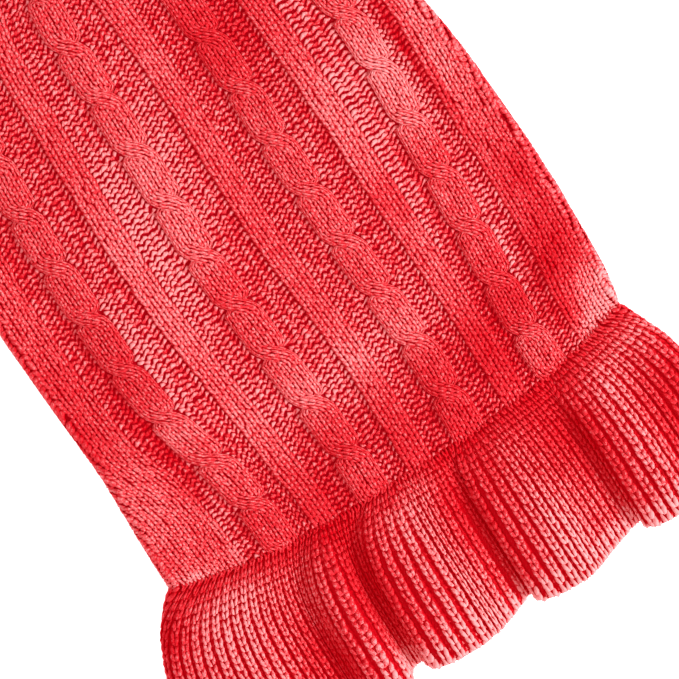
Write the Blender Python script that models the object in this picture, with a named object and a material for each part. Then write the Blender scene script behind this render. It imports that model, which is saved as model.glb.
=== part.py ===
"""A cable-knit dog sweater with a gathered ribbed hem, lying flat on its belly.

X runs across the garment, Y from its hem to its neck, and Z up from the surface that it lies on. The tables and
named sizes are in millimetres. Heights along the garment are measured from the seam of the ruffle, and MIDDLE is
taken off them when a mesh is made, so that the finished garment is centred on the origin.

Every piece of knitting is a wall: a plain inside face, and an outside face that stands off it by the wall's
thickness and by the relief of cables and ribs. Both are grids of points, worked out row by row.
"""

import math

import bmesh
import bpy
import numpy as np

MM = 0.001

# The cloth
KNIT_WALL = 2.4
SEAM_GAP = 0.3
LAYER_GAP = 1.0
FOLD_RADIUS = 1.5  # inside a side fold, where the tube turns under
RED = (0.80, 0.045, 0.06, 1.0)

# The body, from the seam of the ruffle to the seam of the collar
BODY_LENGTH = 240.0
SEAM_RISE = 10.6  # how much higher the ruffle's seam is at the sides
SEAM_RISE_REACH = 60.0
SEAM_RISE_HALF = 93.0
SIDE_TUCK = 7.0  # from the side fold in to the seam with the belly
PINCH_LENGTH = 6.0
SWELL = 0.45  # soft unevenness of the top layer
SWELL_LENGTH = 96.0
SWELL_SLANT = 150.0
WAVES = np.array([  # soft ridges of the top layer
    (4.0, -4.0, 64.0, 27.0, 5.2),
    (0.0, 62.0, 55.0, 16.0, 0.8),
    (-58.0, 112.0, 14.0, 50.0, 2.6),
    (-35.0, 122.0, 20.0, 50.0, 3.4),
    (-57.0, 60.0, 11.0, 40.0, 2.6),
    (-82.0, 63.0, 12.0, 22.0, 3.5),
    (44.0, 120.0, 20.0, 34.0, 3.2),
    (82.0, 122.0, 5.0, 30.0, 2.5),
    (86.0, 26.0, 14.0, 13.0, 5.4),
    (46.0, 164.0, 16.0, 24.0, 1.6),
    (0.0, 204.0, 18.0, 24.0, 1.0),
    (-60.0, 184.0, 10.0, 24.0, 0.9),
    (62.0, 206.0, 10.0, 22.0, 0.9),
])
OUTLINE = np.array([
    # height, half width, middle
    (0.0, 93.8, 0.4),
    (10.0, 94.6, 1.3),
    (20.0, 95.2, 1.8),
    (40.0, 95.4, 2.4),
    (60.0, 95.6, 2.9),
    (80.0, 96.1, 2.1),
    (100.0, 96.2, 1.2),
    (120.0, 95.9, 0.2),
    (140.0, 93.8, -0.5),
    (165.0, 88.2, 0.0),
    (190.0, 83.4, 0.0),
    (211.0, 78.5, 0.0),
    (228.0, 67.5, 0.0),
    (240.0, 58.5, 0.0),
])

# The pattern of the back: the middle of each cable and rib, and the inner edge of each plain side band
PATTERN = np.array([
    # height, left band, cable 1, rib 1, cable 2, rib 2, cable 3, rib 3, cable 4, right band
    (0.0, -64.5, -51.9, -34.2, -14.9, 4.8, 24.5, 45.0, 62.0, 75.5),
    (13.0, -65.2, -52.3, -34.9, -15.0, 5.0, 25.0, 45.2, 62.0, 75.4),
    (27.0, -67.6, -53.4, -36.0, -15.4, 5.2, 25.8, 45.3, 63.2, 76.6),
    (40.0, -70.2, -55.8, -37.2, -16.2, 5.0, 25.7, 45.3, 63.8, 78.0),
    (60.0, -75.0, -61.2, -40.0, -18.0, 4.3, 25.0, 45.3, 64.7, 79.0),
    (80.0, -78.5, -64.3, -42.3, -19.3, 3.0, 24.3, 45.1, 65.3, 79.4),
    (100.0, -80.0, -65.2, -44.0, -20.6, 2.1, 23.7, 45.0, 66.0, 79.8),
    (120.0, -80.4, -65.5, -44.5, -20.7, 2.0, 23.1, 44.8, 67.4, 81.0),
    (145.0, -79.4, -65.6, -44.5, -20.7, 2.3, 23.0, 44.2, 67.6, 80.8),
    (165.0, -77.5, -64.6, -43.8, -20.6, 2.1, 22.6, 43.4, 65.6, 77.8),
    (211.0, -69.6, -58.2, -38.8, -19.4, 0.0, 19.4, 38.8, 58.2, 69.6),
    (240.0, -50.8, -42.2, -28.1, -14.0, 0.0, 14.0, 28.1, 42.2, 50.8),
])
CABLE_HALF = 6.8
RIB_HALF = 4.8
BAND_STEP = 0.8
NECK_SQUEEZE = 0.8  # how narrow cables and ribs get where the collar draws them in
NECK_SQUEEZE_FROM = 195.0
PURL_RELIEF = -0.5
RIB_RELIEF = 0.8
CABLE_RELIEF = 2.0
CROSSING_LIFT = 1.2
CABLE_PITCH = 21.5  # from one crossing to the next
FIRST_CROSSING = 17.2
CROSSING_SHARE = 0.3  # of the pitch, either side of a crossing
STRAND_OFFSET = 0.38  # of the cable's half width
STRAND_HALF = 0.66
ROWS_PER_PITCH = 5

BELLY_COLUMNS = 9

# The armholes, in the side folds of the body
UNDERARM = 165.0
SHOULDER = 211.0
ARMHOLE_END = 4.0

# The sleeves
SLEEVE_LENGTH = 52.0
SLEEVE_DROOP = math.radians(25)
CUFF_HALF = 19.0
SLEEVE_FOLD = 0.6
SLEEVE_RIBS = 11

# The collar
COLLAR_LENGTH = 48.0
COLLAR_TOP_HALF = 53.0
COLLAR_RIBS = 29
SMALL_RIB_RELIEF = 0.6

# The ruffle. The table is the inside face of its back half along the hem, from under the left side to under the
# right side, over the ridges and into the valleys.
RUFFLE_LENGTH = 63.5
RUFFLE_RIBS = 64
RUFFLE_RIB_RELIEF = 0.8
RUFFLE_FLARE_POWER = 4.5  # how fast the ruffle spreads below its seam
RUFFLE_SWELL_POWER = 3.5
HEM_UNEVEN = 0.45  # how much shorter the hem is for each millimetre that it lies lower
HEM_SIDE_RISE = 9.0
HEM_SIDE_AT = 110.0
HEM = np.array([
    # across, height above the surface
    (-100.0, 2.4),
    (-107.5, 2.4),
    (-110.0, 4.8),
    (-108.5, 8.0),
    (-102.0, 11.0),
    (-94.0, 12.6),
    (-84.0, 11.8),
    (-72.0, 8.8),
    (-62.0, 5.2),
    (-56.8, 3.6),
    (-53.0, 5.2),
    (-50.8, 8.6),
    (-47.4, 12.4),
    (-42.8, 13.2),
    (-40.0, 10.4),
    (-38.8, 6.4),
    (-35.5, 3.0),
    (-29.0, 3.4),
    (-27.6, 5.8),
    (-28.8, 8.4),
    (-27.3, 10.9),
    (-23.5, 12.6),
    (-17.5, 13.5),
    (-11.0, 13.8),
    (-4.0, 12.0),
    (3.5, 8.4),
    (8.0, 5.6),
    (12.2, 3.2),
    (15.8, 3.6),
    (17.0, 6.0),
    (15.7, 8.6),
    (17.2, 11.0),
    (20.8, 12.6),
    (26.5, 13.5),
    (32.5, 13.8),
    (38.0, 11.8),
    (44.5, 8.4),
    (51.0, 5.2),
    (56.5, 3.2),
    (61.2, 3.8),
    (62.6, 6.2),
    (61.6, 8.6),
    (63.2, 11.0),
    (67.0, 12.8),
    (73.0, 13.5),
    (80.0, 10.4),
    (86.0, 8.2),
    (92.0, 8.6),
    (98.0, 9.0),
    (102.2, 7.0),
    (102.8, 4.4),
    (100.2, 2.4),
    (91.5, 2.4),
])
RUFFLE_ROWS = np.array([60.0, 50.0, 38.0, 27.0, 18.0, 11.0, 6.5, 3.0, 0.0]) / 60.0  # from the hem up to the seam

MIDDLE = (BODY_LENGTH + SEAM_GAP + COLLAR_LENGTH - RUFFLE_LENGTH) / 2


# Curves and steps


def through(x, table):
    """A smooth curve through the rows of a table, whose first column rises. It gives the other columns at x."""
    knots, values = table[:, 0], table[:, 1:]
    slopes = np.gradient(values, knots, axis=0)
    x = np.asarray(x, float)
    i = np.clip(np.searchsorted(knots, x, side="right") - 1, 0, len(knots) - 2)
    span = (knots[i + 1] - knots[i])[..., None]
    t = (x[..., None] - knots[i][..., None]) / span
    rise = t * t * (3 - 2 * t)
    return (
        values[i] * (1 - rise)
        + values[i + 1] * rise
        + span * (t * (1 - t) ** 2 * slopes[i] - t * t * (1 - t) * slopes[i + 1])
    )


def eased(x, start, end):
    """0 before start, 1 after end, and a soft step between them."""
    t = np.clip((x - start) / (end - start), 0.0, 1.0)
    return t * t * (3 - 2 * t)


def half_width(y):
    return through(y, OUTLINE)[..., 0]


def middle(y):
    """How far across the middle of the body is."""
    return through(y, OUTLINE)[..., 1]


def closed_side(y):
    """1 where the side of the body is folded shut, and 0 along the armhole."""
    return 1 - eased(y, UNDERARM - ARMHOLE_END, UNDERARM) * (1 - eased(y, SHOULDER, SHOULDER + ARMHOLE_END))


def armhole_edge(y):
    """How far across the straight edge of the armhole is."""
    return np.interp(y, (UNDERARM, SHOULDER), half_width((UNDERARM, SHOULDER)))


def placed(x, y, z):
    """Points of the body from their distance to its middle. The rows next to the ruffle follow its curved seam."""
    fade = np.clip(1 - y / SEAM_RISE_REACH, 0, 1) ** 2
    rise = SEAM_RISE * np.minimum(np.abs(x / SEAM_RISE_HALF), 1.1) ** 3 * fade
    return np.stack(np.broadcast_arrays(x + middle(y), y + rise, z), axis=-1)


def folded(q, half, wall, fold):
    """The inside face of a tube pressed flat, at the distance q from the middle of its top layer, round the fold."""
    flat = half - fold - wall
    side = np.abs(q)
    turn = np.clip((side - flat) / fold, 0, math.pi)
    x = np.minimum(side, flat) + fold * np.sin(turn) - np.maximum(side - flat - math.pi * fold, 0)
    return np.sign(q) * x, wall + fold + fold * np.cos(turn)


# Walls of cloth


def normals_of(points, ring):
    """The outward direction at each point of a grid whose rows run up the garment and columns to the right."""
    if ring:
        across = np.roll(points, -1, axis=1) - np.roll(points, 1, axis=1)
    else:
        across = np.gradient(points, axis=1)
    normals = np.cross(across, np.gradient(points, axis=0))
    for row in (0, -1):  # an end that is sewn to another piece keeps to its own section
        plan = points[row, :, :2] - points[row, :, :2].mean(axis=0)
        reach = np.linalg.svd(plan, full_matrices=False)[2][0]
        normals[row, :, :2] = (normals[row, :, :2] @ reach)[:, None] * reach
    return normals / np.linalg.norm(normals, axis=2, keepdims=True)


def outside(points, wall, relief, ring=False):
    """The outside face over an inside face. Its relief fades where it turns under, and it lies flat beneath."""
    normals = normals_of(points, ring)
    facing_up = np.clip(normals[..., 2] * 1.5 + 0.5, 0, 1)
    out = points + normals * (wall + relief * facing_up)[..., None]
    out[..., 2] = np.maximum(out[..., 2], 0)
    return out


def grid_faces(numbers, ring):
    """Two triangles for each cell of a grid, split the way that the cables' strands run."""
    right = np.roll(numbers, -1, axis=1) if ring else numbers[:, 1:]
    left = numbers if ring else numbers[:, :-1]
    low = np.stack([left[:-1], right[:-1], left[1:]], axis=-1)
    high = np.stack([right[:-1], right[1:], left[1:]], axis=-1)
    return np.concatenate([low.reshape(-1, 3), high.reshape(-1, 3)]).tolist()


def rim_faces(outer, inner, points):
    """Triangles between two rows of vertices that start and end side by side, along the shorter cuts."""
    i = j = 0
    while i < len(outer) - 1 or j < len(inner) - 1:
        forward = math.inf if i == len(outer) - 1 else np.linalg.norm(points[outer[i + 1]] - points[inner[j]])
        behind = math.inf if j == len(inner) - 1 else np.linalg.norm(points[outer[i]] - points[inner[j + 1]])
        if forward <= behind:
            yield outer[i], outer[i + 1], inner[j]
            i += 1
        else:
            yield outer[i], inner[j + 1], inner[j]
            j += 1


def edges_of(numbers, ring):
    """The border rows of a grid: the two ends, and the two sides too unless the grid closes into a ring."""
    if ring:
        return [np.append(numbers[k], numbers[k, 0]) for k in (0, -1)]
    return [numbers[0], numbers[-1], numbers[:, 0], numbers[:, -1]]


def make_wall(name, outer, inner, ring=False):
    """One closed wall of cloth from its outside and inside faces, whose grids may differ in size."""
    points = np.concatenate([outer.reshape(-1, 3), inner.reshape(-1, 3)])
    outer_numbers = np.arange(outer[..., 0].size).reshape(outer.shape[:2])
    inner_numbers = np.arange(inner[..., 0].size).reshape(inner.shape[:2]) + outer_numbers.size
    faces = [*grid_faces(outer_numbers, ring), *grid_faces(inner_numbers, ring)]
    for over, under in zip(edges_of(outer_numbers, ring), edges_of(inner_numbers, ring)):
        faces.extend(rim_faces(over, under, points))
    mesh = bpy.data.meshes.new(name)
    mesh.from_pydata(((points - (0, MIDDLE, 0)) * MM).tolist(), [], [list(map(int, f)) for f in faces])
    tidy = bmesh.new()
    tidy.from_mesh(mesh)
    bmesh.ops.recalc_face_normals(tidy, faces=tidy.faces)
    tidy.to_mesh(mesh)
    tidy.free()
    mesh.shade_smooth()
    mesh.set_sharp_from_angle(angle=math.radians(50))
    mesh.materials.append(yarn())
    piece = bpy.data.objects.new(name, mesh)
    bpy.context.scene.collection.objects.link(piece)
    return piece


def yarn():
    """The dull red acrylic yarn of every piece."""
    material = bpy.data.materials.get("yarn")
    if material:
        return material
    material = bpy.data.materials.new("yarn")
    material.use_nodes = True
    shader = material.node_tree.nodes["Principled BSDF"]
    shader.inputs["Base Color"].default_value = RED
    shader.inputs["Roughness"].default_value = 0.9
    shader.inputs["Metallic"].default_value = 0.0
    material.diffuse_color = RED
    return material


# The back


def top_layer_drop(x, y):
    """How far the top layer of the body lies below the height of its side folds."""
    half = half_width(y)
    outer_part = eased(np.abs(x), 0.74 * half, half - FOLD_RADIUS - KNIT_WALL) * closed_side(y)
    neck_part = eased(y, BODY_LENGTH - 16.0, BODY_LENGTH)
    swell = SWELL * np.sin(2 * math.pi * (y / SWELL_LENGTH + x / SWELL_SLANT))
    for across, height, half_across, half_up, rise in WAVES:
        swell = swell + rise * np.exp(-((x - across) / half_across) ** 2 - ((y - height) / half_up) ** 2)
    return (2 * FOLD_RADIUS - LAYER_GAP - swell) * (1 - np.maximum(outer_part, neck_part))


def body_section(x_flat, share, y):
    """The inside face of the back at rows y. A column is x_flat across, and where share is above 0 it lies that
    share of the way from there to the end of the row, past the side fold, or at the armhole's edge."""
    half = half_width(y)
    side = np.sign(x_flat)
    end_closed = half - FOLD_RADIUS - KNIT_WALL + math.pi * FOLD_RADIUS + SIDE_TUCK - FOLD_RADIUS - KNIT_WALL
    q = x_flat + share * (side * end_closed - x_flat)
    x_closed, z_closed = folded(q, half, KNIT_WALL, FOLD_RADIUS)
    x_open = x_flat + share * (side * armhole_edge(y) - x_flat)
    closed = closed_side(y)
    z_open = KNIT_WALL + 2 * FOLD_RADIUS + 0 * x_open
    x = x_closed * closed + x_open * (1 - closed)
    z = z_closed * closed + z_open * (1 - closed)
    on_top = np.where(share > 0, 1 - eased(z_open - z, 0, FOLD_RADIUS), 1)
    z = z - top_layer_drop(x, y) * on_top
    return placed(x, y, z)


def cable_height(across, y):
    """The relief of a rope cable. across runs from -1 to 1. At each crossing the front strand goes from the left to
    the right as it comes down, and the other passes behind it."""
    phase = (FIRST_CROSSING - y) / CABLE_PITCH
    phase = phase - np.round(phase)
    nearness = np.clip(1 - np.abs(phase) / CROSSING_SHARE, 0, 1)
    swing = STRAND_OFFSET * np.sin(np.clip(phase / CROSSING_SHARE, -1, 1) * math.pi / 2)

    def strand(middle, lift):
        return (CABLE_RELIEF + lift) * np.sqrt(np.clip(1 - ((across - middle) / STRAND_HALF) ** 2, 0, 1))

    return np.maximum(strand(swing, CROSSING_LIFT * nearness), strand(-swing, -CROSSING_LIFT * nearness))


CABLE_MARKS = (-1.15, -0.92, -0.5, 0.0, 0.5, 0.92, 1.15)
RIB_MARKS = (-1.15, -0.85, 0.85, 1.15)
FLAT_SHARES = (0.25, 0.5)
FOLD_SHARES = (0.0, 0.2, 0.4, 0.6, 0.8, 1.0)


def side_shares(y, band):
    """The shares along a side band at which its columns lie: across the flat, round the fold and under."""
    start = np.abs(band)
    flat = half_width(y) - FOLD_RADIUS - KNIT_WALL
    bend = math.pi * FOLD_RADIUS
    end = flat + bend + SIDE_TUCK - FOLD_RADIUS - KNIT_WALL
    stops = [start + f * (flat - start) for f in FLAT_SHARES]
    stops += [flat + f * bend for f in FOLD_SHARES]
    return [(stop - start) / (end - start) for stop in stops] + [1.0 + 0 * y]


def back_columns(y):
    """For rows y, the columns of the back as lists of (x_flat, share, relief, kept on the inside face)."""
    places = through(y, PATTERN) - middle(y)[:, None]
    left, middles, right = places[:, 0], places[:, 1:8], places[:, 8]
    squeeze = 1 - (1 - NECK_SQUEEZE) * eased(y, NECK_SQUEEZE_FROM, BODY_LENGTH)
    zero = 0 * y
    columns = [(left, share + zero, zero, True) for share in reversed(side_shares(y, left))]
    columns += [(left, zero, zero, False), (left + BAND_STEP, zero, PURL_RELIEF + zero, True)]
    for number, centre in enumerate(middles.T):
        is_cable = number % 2 == 0
        half = CABLE_HALF if is_cable else RIB_HALF
        for mark in CABLE_MARKS if is_cable else RIB_MARKS:
            raised = cable_height(np.full_like(y, mark), y) if is_cable else RIB_RELIEF + zero
            relief = raised if abs(mark) < 1 else PURL_RELIEF + zero
            columns.append((centre + mark * half * squeeze, zero, relief, abs(mark) > 1 or mark == 0))
    columns += [(right - BAND_STEP, zero, PURL_RELIEF + zero, True), (right, zero, zero, False)]
    columns += [(right, share + zero, zero, True) for share in side_shares(y, right)]
    return columns


def body_rows():
    """Rows that fall on every crossing of the cables, with one at each seam."""
    step = CABLE_PITCH / ROWS_PER_PITCH
    rows = np.arange(FIRST_CROSSING % step, BODY_LENGTH, step)
    inside = rows[(rows > step / 2) & (rows < BODY_LENGTH - step / 2)]
    return np.concatenate([[0.0], inside, [BODY_LENGTH]])


def make_back():
    y = body_rows()
    x_flat, share, relief, kept = zip(*back_columns(y))
    x_flat, share, relief = (np.stack(a, axis=1) for a in (x_flat, share, relief))
    inner = body_section(x_flat, share, y[:, None])
    relief = relief * eased(y, 0, PINCH_LENGTH)[:, None] * (1 - eased(y, BODY_LENGTH - 3, BODY_LENGTH))[:, None]
    outer = outside(inner, KNIT_WALL, relief)
    some_rows = sorted({*range(0, len(y), 3), len(y) - 1, *np.flatnonzero(np.abs(y - UNDERARM) < 7).tolist(),
                        *np.flatnonzero(np.abs(y - SHOULDER) < 7).tolist()})
    return make_wall("back_panel", outer, inner[some_rows][:, np.array(kept)])


# The belly


def belly_half(y):
    """Half the width of the belly. It meets the back's edge under the side, and widens to the armhole's edge."""
    lag = ARMHOLE_END + SEAM_GAP
    widened = eased(y, UNDERARM, UNDERARM + lag) * (1 - eased(y, SHOULDER - lag, SHOULDER))
    return (half_width(y) - SIDE_TUCK - SEAM_GAP) * (1 - widened) + armhole_edge(y) * widened


def make_belly():
    y = body_rows()
    x = belly_half(y)[:, None] * np.linspace(-1, 1, BELLY_COLUMNS)
    plan = placed(x, y[:, None], 0.0)
    return make_wall("belly_panel", plan, plan + (0, 0, KNIT_WALL))


# Tubes that lie flat: the collar and the sleeves


def tube_columns(half, wall, fold, ribs):
    """Columns round a flat tube, from the left over the ribbed top to the right and back under. Each is a distance
    from the middle of the top layer and whether it is on a ridge."""
    flat = half - fold - wall
    bend = math.pi * fold
    top = [((k / ribs - 1) * flat, k % 2) for k in range(2 * ribs + 1)]
    turns = [(flat + f * bend, 0) for f in (0.25, 0.5, 0.75, 1.0)]
    under = [(flat + bend + f * flat, 0) for f in (0.4, 0.8)]
    back = [(-q, ridge) for q, ridge in reversed(turns + under)]
    distances, ridges = zip(*(top + turns + under + back))
    return np.array(distances), np.array(ridges, float)


def make_tube(name, rows, wall, ribs, relief):
    """A flat tube through rows of (left end, right end, fold radius) in plan, from its lower edge to its upper one."""
    sections = []
    for left, right, fold in rows:
        middle, reach = (left + right) / 2, (right - left) / 2
        half = np.linalg.norm(reach)
        distance, ridge = tube_columns(half, wall, fold, ribs)
        across, height = folded(distance, half, wall, fold)
        plan = middle + across[:, None] / half * reach
        sections.append(np.column_stack([plan, height]))
    inner = np.array(sections)
    outer = outside(inner, wall, relief * ridge[None, :], ring=True)
    columns = np.arange(len(ridge))
    kept = (columns > 2 * ribs) | (columns % 4 == 0)
    return make_wall(name, outer, inner[:, kept], ring=True)


def make_collar():
    """A ribbed tube, narrowest a little above the neck seam."""
    neck_half = half_width(BODY_LENGTH)
    rows = []
    for share in (0.0, 0.25, 0.6, 1.0):
        half = neck_half + (COLLAR_TOP_HALF - neck_half) * math.sin(share * math.pi / 2)
        y = BODY_LENGTH + SEAM_GAP + share * COLLAR_LENGTH
        rows.append((np.array([-half, y]), np.array([half, y]), FOLD_RADIUS))
    return make_tube("collar", rows, KNIT_WALL, COLLAR_RIBS, SMALL_RIB_RELIEF)


def make_sleeve(name, side):
    """A ribbed tube from the armhole out to its cuff. side is 1 on the right and -1 on the left."""
    low, high = UNDERARM + SEAM_GAP, SHOULDER - SEAM_GAP
    armhole_low = np.array([armhole_edge(low) + SEAM_GAP, low])
    armhole_high = np.array([armhole_edge(high) + SEAM_GAP, high])
    along = np.array([math.cos(SLEEVE_DROOP), -math.sin(SLEEVE_DROOP)])
    up = np.array([math.sin(SLEEVE_DROOP), math.cos(SLEEVE_DROOP)])
    cuff = (armhole_low + armhole_high) / 2 + SLEEVE_LENGTH * along
    rows = []
    for share in (0.0, 0.3, 0.65, 1.0):
        low_end = armhole_low * (1 - share) + (cuff - CUFF_HALF * up) * share
        high_end = armhole_high * (1 - share) + (cuff + CUFF_HALF * up) * share
        fold = FOLD_RADIUS * (1 - share) + SLEEVE_FOLD * share
        ends = (high_end, low_end) if side > 0 else (low_end, high_end)
        rows.append((*(end * (side, 1) for end in ends), fold))
    return make_tube(name, rows, KNIT_WALL, SLEEVE_RIBS, SMALL_RIB_RELIEF)


# The ruffle


def hem_curve(count):
    """count points evenly along the inside face of the back half of the hem."""
    chords = np.linalg.norm(np.diff(HEM, axis=0), axis=1)
    table = np.column_stack([np.concatenate([[0], np.cumsum(chords)]), HEM])
    fine = through(np.linspace(0, table[-1, 0], 3000), table)
    fine[:, 1] = np.clip(fine[:, 1], HEM[0, 1], HEM[:, 1].max())
    travelled = np.concatenate([[0], np.cumsum(np.linalg.norm(np.diff(fine, axis=0), axis=1))])
    even = np.linspace(0, travelled[-1], count)
    return np.column_stack([np.interp(even, travelled, fine[:, k]) for k in (0, 1)])


def hem_height(across, height):
    """How far the hem lies below the seam's middle. A ridge reaches lower than a valley, and the sides end higher."""
    lower = HEM_UNEVEN * (HEM[:, 1].max() - height)
    return -RUFFLE_LENGTH + lower + HEM_SIDE_RISE * np.abs(across / HEM_SIDE_AT) ** 4


def seam_section(shares):
    """The inside face of the body's end, as far as the back reaches under at each side. shares run from -1 to 1."""
    half = half_width(0.0)
    flat = half - FOLD_RADIUS - KNIT_WALL
    end = flat + math.pi * FOLD_RADIUS + SIDE_TUCK - FOLD_RADIUS - KNIT_WALL
    x, z = folded(shares * end, half, KNIT_WALL, FOLD_RADIUS)
    drop = np.where(np.abs(shares * end) < flat, top_layer_drop(x, np.zeros_like(x)), 0)
    return placed(x, 0 * x, z - drop) - (0, SEAM_GAP, 0)


def make_back_ruffle():
    count = 2 * RUFFLE_RIBS + 1
    hem = hem_curve(count)
    seam = seam_section(np.linspace(-1, 1, count))
    below = RUFFLE_ROWS[:, None]
    spread = 1 - (1 - below) ** RUFFLE_FLARE_POWER
    swell = 1 - (1 - below) ** RUFFLE_SWELL_POWER
    end = hem_height(hem[:, 0], hem[:, 1])
    inner = np.stack([
        seam[:, 0] + (hem[:, 0] - seam[:, 0]) * spread,
        seam[:, 1] + (end - seam[:, 1]) * below,
        seam[:, 2] + (hem[:, 1] - seam[:, 2]) * swell,
    ], axis=-1)
    ridge = np.arange(count) % 2
    outer = outside(inner, KNIT_WALL, RUFFLE_RIB_RELIEF * ridge * eased(RUFFLE_ROWS, 0, 0.12)[:, None])
    return make_wall("back_ruffle", outer, inner[:, ::2])


def make_belly_ruffle():
    """The half of the ruffle that lies flat under the other, between its two tucked edges."""
    spread = 1 - (1 - RUFFLE_ROWS) ** RUFFLE_FLARE_POWER
    share = np.linspace(0, 1, BELLY_COLUMNS)
    start, end = HEM[0, 0] + SEAM_GAP, HEM[-1, 0] - SEAM_GAP
    hem = start + (end - start) * share
    seam = placed(belly_half(0.0) * (2 * share - 1), 0.0, 0.0) - (0, SEAM_GAP, 0)
    x = seam[:, 0] + (hem - seam[:, 0]) * spread[:, None]
    y = seam[:, 1] + (hem_height(hem, HEM[0, 1]) - seam[:, 1]) * RUFFLE_ROWS[:, None]
    plan = np.stack([x, y, 0 * x], axis=-1)
    return make_wall("belly_ruffle", plan, plan + (0, 0, KNIT_WALL))


def main():
    for thing in list(bpy.data.objects):
        bpy.data.objects.remove(thing)
    make_back()
    make_belly()
    make_collar()
    make_sleeve("left_sleeve", -1)
    make_sleeve("right_sleeve", 1)
    make_back_ruffle()
    make_belly_ruffle()


main()
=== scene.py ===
# %% [markdown]
# # A cable-knit dog sweater with a ribbed ruffle, lying flat
#
# A knitted garment is one long yarn that loops through itself. Seen close, its cloth isn't a smooth sheet
# with a pattern on it but thousands of short, plump stretches of yarn. This lesson first lays a thin shell
# of cloth over each solid of the frame, and then knits those stretches onto it, stitch by stitch: plain
# side bands, ribs, cables, purl ground, and the gathered ruffle. Everything is measured in millimetres and
# turned into metres at the end.

# %% Tools, and the frame
import math

import bmesh
import bpy
import numpy as np
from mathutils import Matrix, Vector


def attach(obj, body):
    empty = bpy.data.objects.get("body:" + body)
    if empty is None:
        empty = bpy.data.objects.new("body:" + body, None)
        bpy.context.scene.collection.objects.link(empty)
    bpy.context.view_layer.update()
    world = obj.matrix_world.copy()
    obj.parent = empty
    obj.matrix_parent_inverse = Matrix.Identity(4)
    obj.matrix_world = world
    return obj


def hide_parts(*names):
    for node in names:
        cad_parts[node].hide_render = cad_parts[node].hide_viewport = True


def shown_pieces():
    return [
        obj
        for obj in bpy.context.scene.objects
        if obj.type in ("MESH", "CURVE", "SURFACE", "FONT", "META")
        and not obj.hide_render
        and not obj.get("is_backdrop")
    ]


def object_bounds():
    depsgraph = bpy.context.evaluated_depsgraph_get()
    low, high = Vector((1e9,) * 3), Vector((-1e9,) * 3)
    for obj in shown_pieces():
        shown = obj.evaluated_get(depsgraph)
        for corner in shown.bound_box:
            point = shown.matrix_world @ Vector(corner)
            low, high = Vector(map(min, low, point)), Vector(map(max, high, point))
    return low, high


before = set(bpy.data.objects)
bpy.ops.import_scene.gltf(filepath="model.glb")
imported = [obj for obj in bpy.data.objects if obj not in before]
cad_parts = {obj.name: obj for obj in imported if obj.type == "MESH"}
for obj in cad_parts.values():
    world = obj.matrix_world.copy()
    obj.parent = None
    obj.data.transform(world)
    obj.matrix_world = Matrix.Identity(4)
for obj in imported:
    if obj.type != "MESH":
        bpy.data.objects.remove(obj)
SOLIDS_BOX = [list(corner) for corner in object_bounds()]
MM = 0.001
print("nodes:", ", ".join(sorted(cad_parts)))
print("box of the solids in mm:", [[round(v / MM, 1) for v in corner] for corner in SOLIDS_BOX])

# %% [markdown]
# ## The camera
#
# The garment lies on a table and the camera hangs over it, looking straight down, turned so that the
# garment runs across the picture from corner to corner. A long lens flattens the view, as a photographer of
# clothes wants it. With a lens of 120 mm on a 36 mm sensor, the distance follows from how much of the table
# the picture covers.

# %% A camera straight above
VIEW_WIDTH = 237.65  # of the table, across the picture
VIEW_CENTRE = (4.4, -59.8)
VIEW_TURN = -32.5
VIEW_HEIGHT = 8.0  # the middle of the cloth's thickness
LENS, SENSOR = 120.0, 36.0

camera_data = bpy.data.cameras.new("camera")
camera_data.lens, camera_data.sensor_width = LENS, SENSOR
camera = bpy.data.objects.new("camera", camera_data)
bpy.context.scene.collection.objects.link(camera)
distance = VIEW_WIDTH * LENS / SENSOR
camera.location = (VIEW_CENTRE[0] * MM, VIEW_CENTRE[1] * MM, (distance + VIEW_HEIGHT) * MM)
camera.rotation_euler = (0, 0, math.radians(VIEW_TURN))
bpy.context.scene.camera = camera
print("the camera hangs", round(distance), "mm over the cloth")

# %% [markdown]
# ## The floor and the light
#
# The floor is plain and pale. The main light is a small soft disc, low beyond the hem at the right side,
# because knitting only shows its relief when light rakes over it: each leg of a stitch gets a bright side
# and a dark one. A second, larger light and a pale sky fill the shadows. The floor glows a little by
# itself, so that it turns white without the cloth getting too much light.

# %% Floor
FLOOR_SIZE = 4.0
FLOOR_GAP = 0.0002  # below the cloth, so that the two faces don't flicker
FLOOR_COLOUR = (0.93, 0.93, 0.93, 1)
FLOOR_FINISH = {
    "Base Color": FLOOR_COLOUR, "Roughness": 0.9,
    "Emission Color": FLOOR_COLOUR, "Emission Strength": 0.7,
}


def set_inputs(node, values):
    """Constants for a node's input sockets, from a dictionary."""
    for socket, value in values.items():
        node.inputs[socket].default_value = value


def new_material(name, finish):
    """A material, its node tree, and its shader with the constants of the finish."""
    material = bpy.data.materials.new(name)
    material.use_nodes = True
    tree = material.node_tree
    shader = tree.nodes["Principled BSDF"]
    set_inputs(shader, finish)
    return material, tree, shader


bpy.ops.mesh.primitive_plane_add(size=FLOOR_SIZE, location=(0, 0, -FLOOR_GAP))
floor = bpy.context.object
floor.name = "floor"
floor.data.materials.append(new_material("pale floor", FLOOR_FINISH)[0])
floor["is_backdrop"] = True
print("the floor is", FLOOR_SIZE, "m wide")

# %% Lights
LIGHTS = [
    # name, azimuth, elevation, distance in metres, size in metres, watts
    ("key", -46.0, 30.0, 1.6, 0.45, 22.0),
    ("fill", 120.0, 60.0, 1.8, 1.2, 4.0),
]
SKY = {"Color": (1.0, 0.80, 0.80, 1), "Strength": 0.66}


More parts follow.
